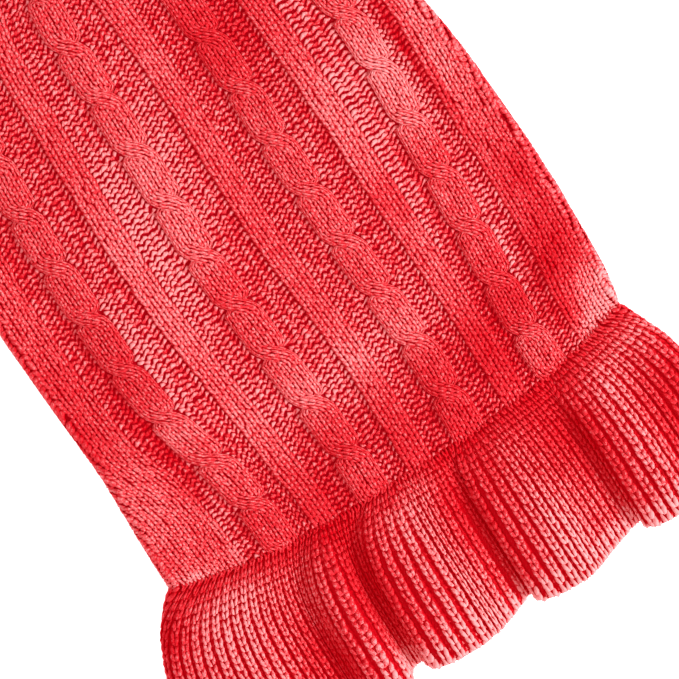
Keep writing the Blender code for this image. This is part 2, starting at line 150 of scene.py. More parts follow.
def soft_light(name, azimuth, elevation, away, size, watts):
    """An area light that looks at the middle of the garment."""
    data = bpy.data.lights.new(name, "AREA")
    data.shape, data.size, data.energy = "DISK", size, watts
    light = bpy.data.objects.new(name, data)
    bpy.context.scene.collection.objects.link(light)
    turn, tilt = math.radians(azimuth), math.radians(elevation)
    light.location = (
        away * math.cos(tilt) * math.cos(turn),
        away * math.cos(tilt) * math.sin(turn) + VIEW_CENTRE[1] * MM,
        away * math.sin(tilt),
    )
    light.rotation_euler = (0, math.pi / 2 - tilt, turn)


for row in LIGHTS:
    soft_light(*row)
sky = bpy.data.worlds.new("sky")
sky.use_nodes = True
set_inputs(sky.node_tree.nodes["Background"], SKY)
bpy.context.scene.world = sky
bpy.context.scene.view_settings.view_transform = "Standard"
bpy.context.scene.view_settings.look = "Medium High Contrast"
print(len(LIGHTS), "soft lights and a pale sky")

# %% [markdown]
# ## The garment's measures
#
# These are the driving sizes of the cloth's form. They are those of the solids, but the pattern is placed a
# little more finely. Heights along the garment are counted from the seam between body and ruffle. Tables
# give a few measured places, and a smooth curve joins them.

# %% Measures of the cloth
KNIT_WALL = 2.4
SEAM_GAP = 0.3
LAYER_GAP = 1.0
FOLD_RADIUS = 1.5

BODY_LENGTH, COLLAR_LENGTH, RUFFLE_LENGTH = 240.0, 48.0, 63.5
SEAM_RISE, SEAM_RISE_REACH, SEAM_RISE_HALF = 10.6, 60.0, 93.0
SIDE_TUCK = 7.0
SWELL, SWELL_LENGTH, SWELL_SLANT = 0.45, 96.0, 150.0
UNDERARM, SHOULDER, ARMHOLE_END = 165.0, 211.0, 4.0

OUTLINE = np.array([
    # height, half width, middle
    (0, 93.8, 0.4), (10, 94.6, 1.3), (20, 95.2, 1.8), (40, 95.4, 2.4), (60, 95.6, 2.9), (80, 96.1, 2.1),
    (100, 96.2, 1.2), (120, 95.9, 0.2), (140, 93.8, -0.5), (165, 88.2, 0), (190, 83.4, 0), (211, 78.5, 0),
    (228, 67.5, 0), (240, 58.5, 0),
])
PATTERN = np.array([
    # height, left band, cable 1, rib 1, cable 2, rib 2, cable 3, rib 3, cable 4, right band
    (0, -65, -51.1, -33.4, -14.1, 5, 25.2, 45.2, 61.5, 75.5),
    (13, -65.8, -51.6, -34, -14.1, 5.3, 25.7, 45.4, 61.4, 75.4),
    (27, -67, -53.2, -35.8, -14.9, 5.7, 26.4, 46, 61.8, 76.6),
    (40, -69.6, -55.8, -37, -15.8, 5.6, 26.3, 46.1, 62.6, 78),
    (60, -76, -61.2, -39.3, -17.7, 4.9, 25.4, 45.9, 64.1, 79),
    (80, -78.5, -64.3, -41.4, -19.3, 3.2, 24.4, 45.3, 65.1, 79.4),
    (100, -80, -65.3, -42.9, -20.8, 2.1, 23.7, 45, 66, 79.8),
    (120, -80.4, -65.6, -43, -20.8, 2, 23.1, 44.8, 67.4, 81),
    (145, -79.4, -65.6, -42.7, -20.7, 2.3, 23, 44.2, 67.6, 80.8),
    (165, -77.5, -64.6, -42.4, -20.6, 2.1, 22.6, 43.4, 65.6, 77.8),
    (211, -69.6, -58.2, -38.8, -19.4, 0, 19.4, 38.8, 58.2, 69.6),
    (240, -50.8, -42.2, -28.1, -14, 0, 14, 28.1, 42.2, 50.8),
])
MIDDLE = (BODY_LENGTH + SEAM_GAP + COLLAR_LENGTH - RUFFLE_LENGTH) / 2  # the height of the origin
print("the body is", BODY_LENGTH, "mm long and", 2 * OUTLINE[:, 1].max(), "mm wide")


# %% Smooth curves through tables
def through(x, table):
    """The other columns of a table at x, on a smooth curve through its rows. Its first column rises."""
    knots, values = table[:, 0], table[:, 1:]
    slopes = np.gradient(values, knots, axis=0)
    x = np.asarray(x, float)
    i = np.clip(np.searchsorted(knots, x, side="right") - 1, 0, len(knots) - 2)
    span = (knots[i + 1] - knots[i])[..., None]
    t = (x[..., None] - knots[i][..., None]) / span
    rise = t * t * (3 - 2 * t)
    bend = t * (1 - t) ** 2 * slopes[i] - t * t * (1 - t) * slopes[i + 1]
    return values[i] * (1 - rise) + values[i + 1] * rise + span * bend


def eased(x, start, end):
    """0 before start, 1 after end, and a soft step between them."""
    t = np.clip((x - start) / (end - start), 0.0, 1.0)
    return t * t * (3 - 2 * t)


FINE = np.linspace(0, BODY_LENGTH, 481)  # heights, every half millimetre


def quick_curve(values):
    """A curve over the height, from its values at FINE, that is read fast for a million points."""
    return lambda y: np.interp(y, FINE, values)


half_width = quick_curve(through(FINE, OUTLINE)[:, 0])
middle = quick_curve(through(FINE, OUTLINE)[:, 1])
places = through(FINE, PATTERN) - middle(FINE)[:, None]
left_band, right_band = quick_curve(-places[:, 0]), quick_curve(places[:, 8])
centres = [quick_curve(column) for column in places[:, 1:8].T]  # cable, rib, cable, rib, cable, rib, cable
print("half width at 100 mm:", round(float(half_width(100.0)), 1), "mm")

# %% [markdown]
# ## The form of the body
#
# The body is a tube pressed flat. Its back lies on top, goes round a soft fold at each side, and is sewn to
# the belly a little way under. A point of the back has two addresses: how far it is from the middle,
# measured along the cloth, and how high it is above the ruffle. The function below turns them into a place
# in space.
#
# Real cloth never lies quite flat. A short table of soft ridges and troughs lets light pool on some
# stretches and leave others dark. The narrow trough in its last row is a crease across the left side band.

# %% Soft ridges and troughs
WAVES = np.array([
    # across, height, half width, half length, rise
    (4, -4, 64, 27, 5.2), (0, 62, 55, 16, 0.8), (-58, 112, 14, 50, 2.6), (-35, 122, 20, 50, 3.4),
    (-57, 60, 11, 40, 2.6), (-82, 63, 12, 22, 3.5), (44, 120, 20, 34, 3.2), (82, 122, 5, 30, 2.5),
    (86, 26, 14, 13, 5.4), (46, 164, 16, 24, 1.6), (0, 204, 18, 24, 1), (-60, 184, 10, 24, 0.9),
    (62, 206, 10, 22, 0.9), (-84, 63.5, 12, 2.6, -0.7),
])


def humps(x, y, table):
    """The sum of soft round humps, one for each row of a table."""
    total = 0.0
    for across, height, half_across, half_up, rise in table:
        total = total + rise * np.exp(-((x - across) / half_across) ** 2 - ((y - height) / half_up) ** 2)
    return total


print(len(WAVES), "soft ridges and troughs")


# %% Points of the back
def closed_side(y):
    """1 where the side of the body is folded shut, and 0 along the armhole."""
    return 1 - eased(y, UNDERARM - ARMHOLE_END, UNDERARM) * (1 - eased(y, SHOULDER, SHOULDER + ARMHOLE_END))


def armhole_edge(y):
    """How far from the middle the side of the body is along the armhole, which is a straight slit."""
    return np.interp(y, (UNDERARM, SHOULDER), half_width(np.array([UNDERARM, SHOULDER])))


def placed(x, y, z):
    """Points of the body from their distance to its middle. The lowest rows follow the curved seam."""
    fade = np.clip(1 - y / SEAM_RISE_REACH, 0, 1) ** 2
    rise = SEAM_RISE * np.minimum(np.abs(x / SEAM_RISE_HALF), 1.1) ** 3 * fade
    return np.stack(np.broadcast_arrays(x + middle(y), y + rise, z), axis=-1)


def folded(q, half, wall, fold):
    """The inside face of a tube pressed flat, at the distance q from the middle of its top layer."""
    flat = half - fold - wall
    side = np.abs(q)
    turn = np.clip((side - flat) / fold, 0, math.pi)
    x = np.minimum(side, flat) + fold * np.sin(turn) - np.maximum(side - flat - math.pi * fold, 0)
    return np.sign(q) * x, wall + fold + fold * np.cos(turn)


def flat_end(y):
    """Where the flat top of the back ends and its side fold starts."""
    return half_width(y) - FOLD_RADIUS - KNIT_WALL


def cloth_end(y):
    """Where the back ends, round the fold and a little way under."""
    return flat_end(y) + math.pi * FOLD_RADIUS + SIDE_TUCK - FOLD_RADIUS - KNIT_WALL


SIDE_SLOPE_FROM = 0.74  # of the half width, where the top layer starts to climb to its side fold
NECK_SLOPE = 16.0  # mm, over which it climbs to the collar


def top_layer_drop(x, y):
    """How far the top layer lies below the height of its side folds."""
    outer_part = eased(np.abs(x), SIDE_SLOPE_FROM * half_width(y), flat_end(y)) * closed_side(y)
    neck_part = eased(y, BODY_LENGTH - NECK_SLOPE, BODY_LENGTH)
    swell = SWELL * np.sin(2 * math.pi * (y / SWELL_LENGTH + x / SWELL_SLANT))
    drop = 2 * FOLD_RADIUS - LAYER_GAP - swell - humps(x, y, WAVES)
    return drop * (1 - np.maximum(outer_part, neck_part))


def back_inside(q, y):
    """The inside face of the back at the distance q along the cloth and the height y."""
    side, reach = np.sign(q), np.abs(q)
    band = np.where(side > 0, right_band(y), left_band(y))
    past = np.clip((reach - band) / (cloth_end(y) - band), 0, None)
    x_shut, z_shut = folded(q, half_width(y), KNIT_WALL, FOLD_RADIUS)
    x_open = side * np.where(past > 0, band + past * (armhole_edge(y) - band), reach)
    z_open = KNIT_WALL + 2 * FOLD_RADIUS
    shut = closed_side(y)
    x = x_shut * shut + x_open * (1 - shut)
    z = z_shut * shut + z_open * (1 - shut)
    return placed(x, y, z - top_layer_drop(x, y) * (1 - eased(z_open - z, 0, FOLD_RADIUS)))


print("the back is", round(2 * float(cloth_end(100.0))), "mm across, measured along the cloth")

# %% [markdown]
# ## Standing off a face
#
# Every face of this lesson is a function of two numbers. To knit on it, each vertex of a stitch gets three:
# its place on the face, and how far it stands off. The direction to stand off in comes from four neighbours
# of the point, so that one short function serves flat cloth, folds and ruffles. Where the cloth lies on the
# table it is pressed flat, so nothing goes below the table and the relief fades.


# %% Height over a face
def above(face, u, v, lift, step_u, step_v):
    """Points over an inside face: the cloth's wall, and lift, which fades where the cloth turns under."""
    along_u = face(u + step_u, v) - face(u - step_u, v)
    along_v = face(u, v + step_v) - face(u, v - step_v)
    normals = np.cross(along_u, along_v)
    normals /= np.linalg.norm(normals, axis=-1, keepdims=True) + 1e-12
    facing_up = np.clip(normals[..., 2] * 2 + 1, 0, 1)  # 1 up to upright, and 0 from 30 degrees past it
    points = face(u, v) + normals * (KNIT_WALL + lift * facing_up)[..., None]
    points[..., 2] = np.maximum(points[..., 2], 0)
    return points


def back_point(q, y, lift):
    """Points over the back. Their direction comes from neighbours 0.3 mm aside and 0.6 mm up and down."""
    return above(back_inside, q, y, lift, 0.3, 0.6)


sample = back_point(np.array([0.0, 90.0]), np.array([100.0, 100.0]), np.array([0.0, 0.0]))
print("heights of the back at its middle and near its side:", sample[:, 2].round(1), "mm")

# %% [markdown]
# ## The relief of the pattern
#
# Purl ground lies low, ribs stand a little over it, and cables stand highest. A rope cable is two strands
# of stitches that change places every so often. Seen from the neck down, the left one always passes in
# front. Each strand is a rounded arch that swings from one side to the other, and it rises where it crosses
# in front and sinks where it crosses behind.

# %% Bands, ribs and cables
CABLE_HALF, RIB_HALF = 6.1, 4.8
NECK_SQUEEZE, NECK_SQUEEZE_FROM = 0.8, 195.0
SEAM_PINCH, NECK_PINCH = 6.0, 3.0
PURL_RELIEF, RIB_RELIEF, CABLE_RELIEF = -0.5, 0.8, 1.6
FRONT_LIFT, BACK_DIP = 0.7, 1.1
CABLE_PITCH, FIRST_CROSSING = 21.5, 17.2
CROSSING_SHARE, HIDDEN_SHARE = 0.27, 0.10  # of the pitch, for the strand in front and the one behind
STRAND_OFFSET, STRAND_HALF = 0.38, 0.66
ARCH_SINK = 0.2  # mm by which the ground under a strand lies deeper than its arch
RIB_FLAT = 0.72  # of a rib's half width, before its edge slopes down
CABLE_SHIFTS = (2.7, 0.6, -0.3, 1.8)  # mm up, because the cloth doesn't lie quite straight


def squeeze(y):
    """How narrow cables and ribs get where the collar draws them in."""
    return 1 - (1 - NECK_SQUEEZE) * eased(y, NECK_SQUEEZE_FROM, BODY_LENGTH)


def relief_share(y):
    """The relief fades at the two seams."""
    return eased(y, 0, SEAM_PINCH) * (1 - eased(y, BODY_LENGTH - NECK_PINCH, BODY_LENGTH))


def strand_at(cable, strand, y):
    """Where a strand's arch has its middle, from -1 to 1 of the cable's half width, and how high its crown
    is. cable is 0 to 3, and strand is 1 or -1."""
    phase = (FIRST_CROSSING + CABLE_SHIFTS[cable] - y) / CABLE_PITCH
    crossing = np.round(phase)
    phase = phase - crossing
    front = strand * np.where(crossing % 2 == 0, 1, -1)
    share = np.where(front > 0, CROSSING_SHARE, HIDDEN_SHARE)
    swing = STRAND_OFFSET * np.sin(np.clip(phase / share, -1, 1) * math.pi / 2)
    nearness = np.clip(1 - np.abs(phase) / CROSSING_SHARE, 0, 1)
    lift = np.where(front > 0, FRONT_LIFT, -BACK_DIP) * nearness
    return front * swing, (CABLE_RELIEF + lift) * relief_share(y)


def relief(q, y):
    """The height of the pattern over the plain cloth."""
    plain = np.where(q > 0, q > right_band(y), -q > left_band(y))
    edge = np.where(q > 0, right_band(y), left_band(y))
    total = PURL_RELIEF * (1 - eased(np.abs(q), edge - 1, edge)) * (1 - plain)
    for number, centre in enumerate(centres):
        half = (RIB_HALF if number % 2 else CABLE_HALF) * squeeze(y)
        across = (q - centre(y)) / half
        if number % 2:
            total = total + (RIB_RELIEF - PURL_RELIEF) * (1 - eased(np.abs(across), RIB_FLAT, 1.0))
            continue
        for strand in (1, -1):
            spot, crown = strand_at(number // 2, strand, y)
            arch = crown * np.sqrt(np.clip(1 - ((across - spot) / STRAND_HALF) ** 2, 0, 1))
            total = np.maximum(total, arch - ARCH_SINK)
    return total * relief_share(y)


print("a cable crosses itself every", CABLE_PITCH, "mm")

# %% [markdown]
# ## The form of the ruffle
#
# The ruffle is a long strip of rib, gathered onto the body's edge. Along its hem it winds up and down in
# waves, and toward the seam the waves fade. A table gives the hem's line as it rises over each ridge, drops
# into each valley, and doubles over where a fold leans on the next. The strip spreads fast below the seam
# and more slowly lower down.

# %% Points of the ruffle
RUFFLE_RIBS = 71
HEM_SAMPLES = 4000
RUFFLE_FLARE_POWER, RUFFLE_SWELL_POWER = 4.5, 3.5
HEM_UNEVEN, HEM_SIDE_RISE, HEM_SIDE_AT = 0.45, 9.0, 110.0
HEM = np.array([
    # across, height above the table, distance between two ribs
    (-100, 2.4, 3.6), (-107.5, 2.4, 3.6), (-110, 4.8, 3.6), (-108.5, 8, 3.8), (-102, 11, 4),
    (-94, 12.6, 4.1), (-84, 11.8, 4.1), (-72, 8.8, 3.8), (-62, 5.2, 3.3), (-56.8, 3.6, 3.3),
    (-53, 5.2, 3.6), (-50.8, 8.6, 3.9), (-47.4, 12.4, 4.4), (-42.8, 13.2, 4.8), (-40, 10.4, 4.5),
    (-38.8, 6.4, 4.2), (-35.5, 3, 3.8), (-29, 3.4, 3.8), (-27.6, 5.8, 4), (-28.8, 8.4, 4.3),
    (-27.3, 10.9, 4.5), (-23.5, 12.6, 4.9), (-17.5, 13.5, 5), (-11, 13.8, 4.9), (-4, 12, 2.1),
    (3.5, 8.4, 4.6), (8, 5.6, 5.4), (12.2, 3.2, 4.8), (15.8, 3.6, 4.2), (17, 6, 4.4), (15.7, 8.6, 4.4),
    (17.2, 11, 4.5), (20.8, 12.6, 4.6), (26.5, 13.5, 4.4), (32.5, 13.8, 3.2), (38, 11.8, 3),
    (44.5, 8.4, 3.4), (51, 5.2, 3.6), (56.5, 3.2, 4.2), (61.2, 3.8, 4.2), (62.6, 6.2, 4.3),
    (61.6, 8.6, 4.4), (63.2, 11, 4.4), (67, 12.8, 4.2), (73, 13.5, 4), (80, 10.4, 4.2), (86, 8.2, 4.4),
    (92, 8.6, 4.4), (98, 9, 4.2), (102.2, 7, 3.8), (102.8, 4.4, 3.8), (100.2, 2.4, 3.8), (91.5, 2.4, 3.8),
])


def travelled(points):
    """How far along a line each of its points is."""
    return np.concatenate([[0], np.cumsum(np.linalg.norm(np.diff(points, axis=0), axis=1))])


hem_steps = travelled(HEM[:, :2])
hem_line = through(np.linspace(0, hem_steps[-1], HEM_SAMPLES), np.column_stack([hem_steps, HEM]))
hem_line[:, 1] = np.clip(hem_line[:, 1], HEM[0, 1], HEM[:, 1].max())
hem_travel = travelled(hem_line[:, :2])
hem_ribs = np.concatenate([[0], np.cumsum(np.diff(hem_travel) / hem_line[1:, 2])])
hem_ribs *= RUFFLE_RIBS / hem_ribs[-1]
HEM_LENGTH = float(hem_travel[-1])
SEAM_LENGTH = 2 * float(cloth_end(0.0))


def hem_height(across, height):
    """The hem's height under the seam's middle: lowest at a ridge, higher in a valley and at a side."""
    lower = HEM_UNEVEN * (HEM[:, 1].max() - height)
    return -RUFFLE_LENGTH + lower + HEM_SIDE_RISE * np.abs(across / HEM_SIDE_AT) ** 4


def spread(t):
    """How far the strip has spread from the seam's width to the hem's."""
    return 1 - (1 - np.clip(t, 0, 1)) ** RUFFLE_FLARE_POWER


def ruffle_inside(s, t):
    """The inside face of the ruffle, at the rib s from the left and the share t of the way to the hem."""
    hem_x, hem_z = (np.interp(s, hem_ribs, hem_line[:, k]) for k in (0, 1))
    q = (2 * s / RUFFLE_RIBS - 1) * cloth_end(0.0)
    x, z = folded(q, half_width(0.0), KNIT_WALL, FOLD_RADIUS)
    z = z - np.where(np.abs(q) < flat_end(0.0), top_layer_drop(x, np.zeros_like(x)), 0)
    seam = placed(x, np.zeros_like(x), z)
    swell = 1 - (1 - np.clip(t, 0, 1)) ** RUFFLE_SWELL_POWER
    seam_y = seam[..., 1] - SEAM_GAP
    return np.stack([
        seam[..., 0] + (hem_x - seam[..., 0]) * spread(t),
        seam_y + (hem_height(hem_x, hem_z) - seam_y) * t,
        seam[..., 2] + (hem_z - seam[..., 2]) * swell,
    ], axis=-1)


def ruffle_point(s, t, lift):
    """Points over the ruffle. Their direction comes from neighbours 0.06 ribs and 0.008 of its length off."""
    return above(ruffle_inside, s, t, lift, 0.06, -0.008)


def rib_pitch(s, t):
    """The distance from one rib of the ruffle to the next, in mm."""
    at_seam, at_hem = SEAM_LENGTH / RUFFLE_RIBS, np.interp(s, hem_ribs, hem_line[:, 2])
    return at_seam + (at_hem - at_seam) * spread(t)


print("the hem is", round(HEM_LENGTH), "mm long and is gathered onto a seam of", round(SEAM_LENGTH), "mm")

# %% [markdown]
# ## The collar and the sleeves
#
# These are short ribbed tubes that lie flat. Each is given by its two ends in plan, from its seam to its
# rim. Round a tube the address runs from -1 to 1 over the top, and on to 2 round the fold and back to the
# middle underneath.

# %% Points of a flat tube
COLLAR_TOP_HALF, COLLAR_RIBS = 53.0, 29
SLEEVE_LENGTH, SLEEVE_DROOP, CUFF_HALF = 52.0, math.radians(25), 19.0
SLEEVE_FOLD, SLEEVE_RIBS = 0.6, 11
TURN_SHARE = 0.2  # of the address from 1 to 2, for the fold
TUBE_STEPS = (0.01, 0.02)  # to the neighbours that give a tube's point its direction


def collar_ends(v):
    """The collar's left and right end in plan, and the radius of its fold, at the share v of its length."""
    neck = float(half_width(BODY_LENGTH))
    half = neck + (COLLAR_TOP_HALF - neck) * np.sin(np.clip(v, 0, 1) * math.pi / 2)
    y = BODY_LENGTH + SEAM_GAP + v * COLLAR_LENGTH
    return np.stack([-half, y], axis=-1), np.stack([half, y], axis=-1), FOLD_RADIUS + 0 * v


def sleeve_ends(side):
    """The same for a sleeve, from the armhole out to its cuff. side is 1 on the right and -1 on the left."""
    heights = (UNDERARM + SEAM_GAP, SHOULDER - SEAM_GAP)
    armhole = [np.array([float(armhole_edge(y)) + SEAM_GAP, y]) for y in heights]
    along = np.array([math.cos(SLEEVE_DROOP), -math.sin(SLEEVE_DROOP)])
    up = np.array([math.sin(SLEEVE_DROOP), math.cos(SLEEVE_DROOP)])
    cuff_middle = sum(armhole) / 2 + SLEEVE_LENGTH * along
    cuff = [cuff_middle - CUFF_HALF * up, cuff_middle + CUFF_HALF * up]

    def ends(v):
        share = np.asarray(v)[..., None]
        low_end, high_end = (
            (start * (1 - share) + end * share) * (side, 1) for start, end in zip(armhole, cuff)
        )
        fold = FOLD_RADIUS * (1 - v) + SLEEVE_FOLD * v
        return (high_end, low_end, fold) if side > 0 else (low_end, high_end, fold)

    return ends


def tube_inside(ends):
    """The inside face of a flat tube as a function of the address round it and the share along it."""
    def face(w, v):
        left, right, fold = ends(v)
        middle_point, reach = (left + right) / 2, (right - left) / 2
        half = np.linalg.norm(reach, axis=-1)
        flat = half - fold - KNIT_WALL
        round_it = (w + 2) % 4 - 2
        over = np.abs(round_it)
        turned = np.clip(over - 1, 0, TURN_SHARE) / TURN_SHARE * math.pi * fold
        under = np.clip(over - 1 - TURN_SHARE, 0, None) / (1 - TURN_SHARE) * flat
        q = np.sign(round_it) * (np.minimum(over, 1) * flat + turned + under)
        across, z = folded(q, half, KNIT_WALL, fold)
        plan = middle_point + (across / half)[..., None] * reach
        return np.concatenate([plan, z[..., None]], axis=-1)

    return face


collar_inside = tube_inside(collar_ends)
collar_top = float(collar_inside(np.array(0.0), np.array(1.0))[1] - MIDDLE)
print("the collar ends", round(collar_top, 1), "mm from the origin")

# %% [markdown]
# ## The yarn
#
# The yarn is dull red acrylic, spun from plies of slightly different reds. Its fibres catch light at a low
# angle, which a sheen gives, and its surface is uneven at the scale of a fibre. Deep between the stitches
# the colour is painted darker and purer, as shade, and on the crowns paler, as a highlight: each stitch
# carries a value called rise, from 0 at its back to 1 at its crown, and a value called tone that makes it
# a touch lighter or darker, at random and by painted light and shade.
#
# Light also goes into such yarn and comes out again as pure red, so that its shade is never black.
# Subsurface scattering could do that, but it is slow and it blurs stitches as fine as these. A faint red
# emission, the same all over, gives the same warm shade and keeps every stitch sharp.

# %% Nodes of the yarn
# Painted shade between the stitches, the yarn's own red, and a painted highlight on their crowns. Heather and
# fibres also move the colour between them.
SHADE_AND_HEATHER_RED = (0.45, 0.0, 0.008, 1)
MID_RED = (0.63, 0.052, 0.066, 1)
HIGHLIGHT_AND_HEATHER_RED = (0.77, 0.38, 0.38, 1)
# Painted shade: the ground where it lies under the stitches, seen only in the gaps between them.
GAP_SHADE_RED = (0.28, 0.0, 0.008, 1)
SHEEN_RED = (1.0, 0.35, 0.35, 1)
CLOTH_FINISH = {  # dull, with the sheen of fine fibres
    "Roughness": 0.62, "Specular IOR Level": 0.15, "Specular Tint": SHEEN_RED,
    "Sheen Weight": 0.04, "Sheen Roughness": 0.45, "Sheen Tint": SHEEN_RED,
    "Emission Color": (1.0, 0.0, 0.015, 1), "Emission Strength": 0.14,
}


def add(tree, kind, **settings):
    """A node of the kind, with its properties set."""
    made = tree.nodes.new(kind)
    for key, value in settings.items():
        setattr(made, key, value)
    return made


def link(tree, start, end):
    tree.links.new(start, end)


def math_node(tree, operation, *values):
    """A Math node. Each value is a number or a socket."""
    made = add(tree, "ShaderNodeMath", operation=operation)
    for socket, value in zip(made.inputs, values):
        if isinstance(value, (int, float)):
            socket.default_value = value
        else:
            link(tree, value, socket)
    return made.outputs[0]


def attribute(tree, name):
    """A number that the mesh carries."""
    return add(tree, "ShaderNodeAttribute", attribute_name=name).outputs["Fac"]


def noise(tree, scale, detail, rough=0.5):
    """Noise in the object's own space."""
    made = add(tree, "ShaderNodeTexNoise")
    set_inputs(made, {"Scale": scale, "Detail": detail, "Roughness": rough})
    link(tree, add(tree, "ShaderNodeTexCoord").outputs["Object"], made.inputs["Vector"])
    return made.outputs["Fac"]


def map_axes(tree, name):
    """The two axes of a UV map."""
    axes = add(tree, "ShaderNodeSeparateXYZ")
    link(tree, add(tree, "ShaderNodeUVMap", uv_map=name).outputs["UV"], axes.inputs["Vector"])
    return axes.outputs["X"], axes.outputs["Y"]


def colour_ramp(tree, factor, stops):
    """A colour ramp with a stop for each (place, colour)."""
    made = add(tree, "ShaderNodeValToRGB")
    while len(made.color_ramp.elements) < len(stops):
        made.color_ramp.elements.new(0.5)
    for element, (place, colour) in zip(made.color_ramp.elements, stops):
        element.position, element.color = place, colour
    link(tree, factor, made.inputs["Fac"])
    return made.outputs["Color"]


def bump(tree, shader, height, distance, strength=1.0):
    """Unevenness of the shader's surface, as deep as the distance in metres."""
    made = add(tree, "ShaderNodeBump")
    set_inputs(made, {"Strength": strength, "Distance": distance})
    link(tree, height, made.inputs["Height"])
    link(tree, made.outputs["Normal"], shader.inputs["Normal"])


print("the yarn glows with a strength of", CLOTH_FINISH["Emission Strength"])

# %% The knitted yarn's material
FIBRE_SCALE = 1900.0
HEATHER_SCALE = 420.0
PLY_TURN = 1.5  # mm of yarn for one turn of its plies
PLIES = 2
LIT_FROM = -0.89  # where the colour starts, before rise, tone, heather, fibres and plies add to it


def yarn_material():
    """Yarn whose plies wind round it, painted lighter on its crown as a highlight and darker at its back as
    shade, with its tone changing from stitch to stitch.
    """
    material, tree, shader = new_material("red yarn", CLOTH_FINISH)
    around, along = map_axes(tree, "Yarn")
    turns = math_node(tree, "DIVIDE", along, PLY_TURN)
    turned = math_node(tree, "MULTIPLY_ADD", around, PLIES, turns)
    plies = math_node(tree, "SINE", math_node(tree, "MULTIPLY", turned, 2 * math.pi))
    fibres = noise(tree, FIBRE_SCALE, 1.0)
    lit = LIT_FROM
    for value, share in (
        # rise paints shade at the back of each stitch and a highlight on its crown
        (attribute(tree, "rise"), 0.92),
        (attribute(tree, "tone"), 0.32),
        (noise(tree, HEATHER_SCALE, 2.0), 0.26),
        (fibres, 0.9),
        (plies, 0.08),
    ):
        lit = math_node(tree, "MULTIPLY_ADD", value, share, lit)
    colour = colour_ramp(tree, lit, [(0.12, SHADE_AND_HEATHER_RED), (0.55, MID_RED), (1.0, HIGHLIGHT_AND_HEATHER_RED)])
    link(tree, colour, shader.inputs["Base Color"])
    link(tree, math_node(tree, "MULTIPLY_ADD", fibres, 0.25, 0.48), shader.inputs["Roughness"])
    bump(tree, shader, math_node(tree, "MULTIPLY_ADD", plies, 0.35, fibres), 0.00014, 0.8)
    return material


YARN = yarn_material()
print("material:", YARN.name)

# %% [markdown]
# The shell of cloth under the stitches shows only as a gap between them, and there it is painted dark as
# shade. The belly and the undersides have no stitches of their own, because they lie on the table: there
# the same rows of small V shapes are drawn as colour and bump. The shell's own UV map is measured in
# millimetres along the cloth, so a stitch has its real size everywhere.

# %% The ground's material
BODY_ROWS = 112
WALE, COURSE = 2.95, BODY_LENGTH / BODY_ROWS


def ground_material():
    """Cloth with rows of V-shaped stitches drawn as colour and bump, on a UV map in millimetres. Where it
    lies under knitted stitches it is painted dark, as the shade between them."""
    material, tree, shader = new_material("red ground", CLOTH_FINISH)
    across, along = map_axes(tree, "Cloth")
    wale = math_node(tree, "FRACT", math_node(tree, "DIVIDE", across, WALE))
    aside = math_node(tree, "ABSOLUTE", math_node(tree, "SUBTRACT", wale, 0.5))
    rows = math_node(tree, "DIVIDE", along, COURSE)
    slanted = math_node(tree, "MULTIPLY_ADD", aside, -1.4, rows)
    row_wave = math_node(tree, "SINE", math_node(tree, "MULTIPLY", slanted, 2 * math.pi))
    leg_wave = math_node(tree, "SINE", math_node(tree, "MULTIPLY", aside, 2 * math.pi))
    legs = math_node(tree, "ABSOLUTE", leg_wave)
    knit_rows = math_node(tree, "MULTIPLY", legs, math_node(tree, "MULTIPLY_ADD", row_wave, 0.3, 0.7))
    fibres = noise(tree, FIBRE_SCALE, 3.0, 0.7)
    lit = math_node(tree, "MULTIPLY_ADD", fibres, 0.35, math_node(tree, "MULTIPLY", knit_rows, 0.4))
    # painted shade where the ground lies under stitches
    lit = math_node(tree, "MULTIPLY", lit, attribute(tree, "painted_light_share"))
    colour = colour_ramp(tree, lit, [(0.0, GAP_SHADE_RED), (0.1, SHADE_AND_HEATHER_RED), (0.8, MID_RED)])
    link(tree, colour, shader.inputs["Base Color"])
    bump(tree, shader, math_node(tree, "MULTIPLY_ADD", fibres, 0.15, knit_rows), 0.0006)
    return material


GROUND = ground_material()
print("material:", GROUND.name, "with wales of", WALE, "mm")

# %% [markdown]
# ## Sheets of cloth
#
# A sheet starts as a grid, added with as many rows and columns as its form needs. Its vertices are then
# moved to their places on the garment, all at once. On a tube the grid's two sides meet there and are
# merged. Solidify gives the sheet a closed wall that grows inward. It lies a little lower than the finished
# surface, so that the stitches have something to sit in.

# %% A sheet from a face
SINK = 0.82  # mm by which the ground lies below the face that the stitches are set on
FACES_DOWN = -0.3  # the upward part of a normal, below which a face is taken to lie on the table
SHELL = KNIT_WALL - SINK


def alone(piece):
    """Selects only this piece, and makes it the active one."""
    bpy.ops.object.select_all(action="DESELECT")
    piece.select_set(True)
    bpy.context.view_layer.objects.active = piece


def to_frame(points):
    """From millimetres above the seam to metres from the origin."""
    return (points - (0, MIDDLE, 0)) * MM


def set_value(mesh, name, values):
    """An attribute with one number for each vertex, for the material to read."""
    layer = mesh.attributes.new(name, "FLOAT", "POINT")
    layer.data.foreach_set("value", np.asarray(values, np.float32))


def shaded_under_stitches(across, up):
    """Painted shade all over, for a side that lies wholly under stitches."""
    return 0 * across


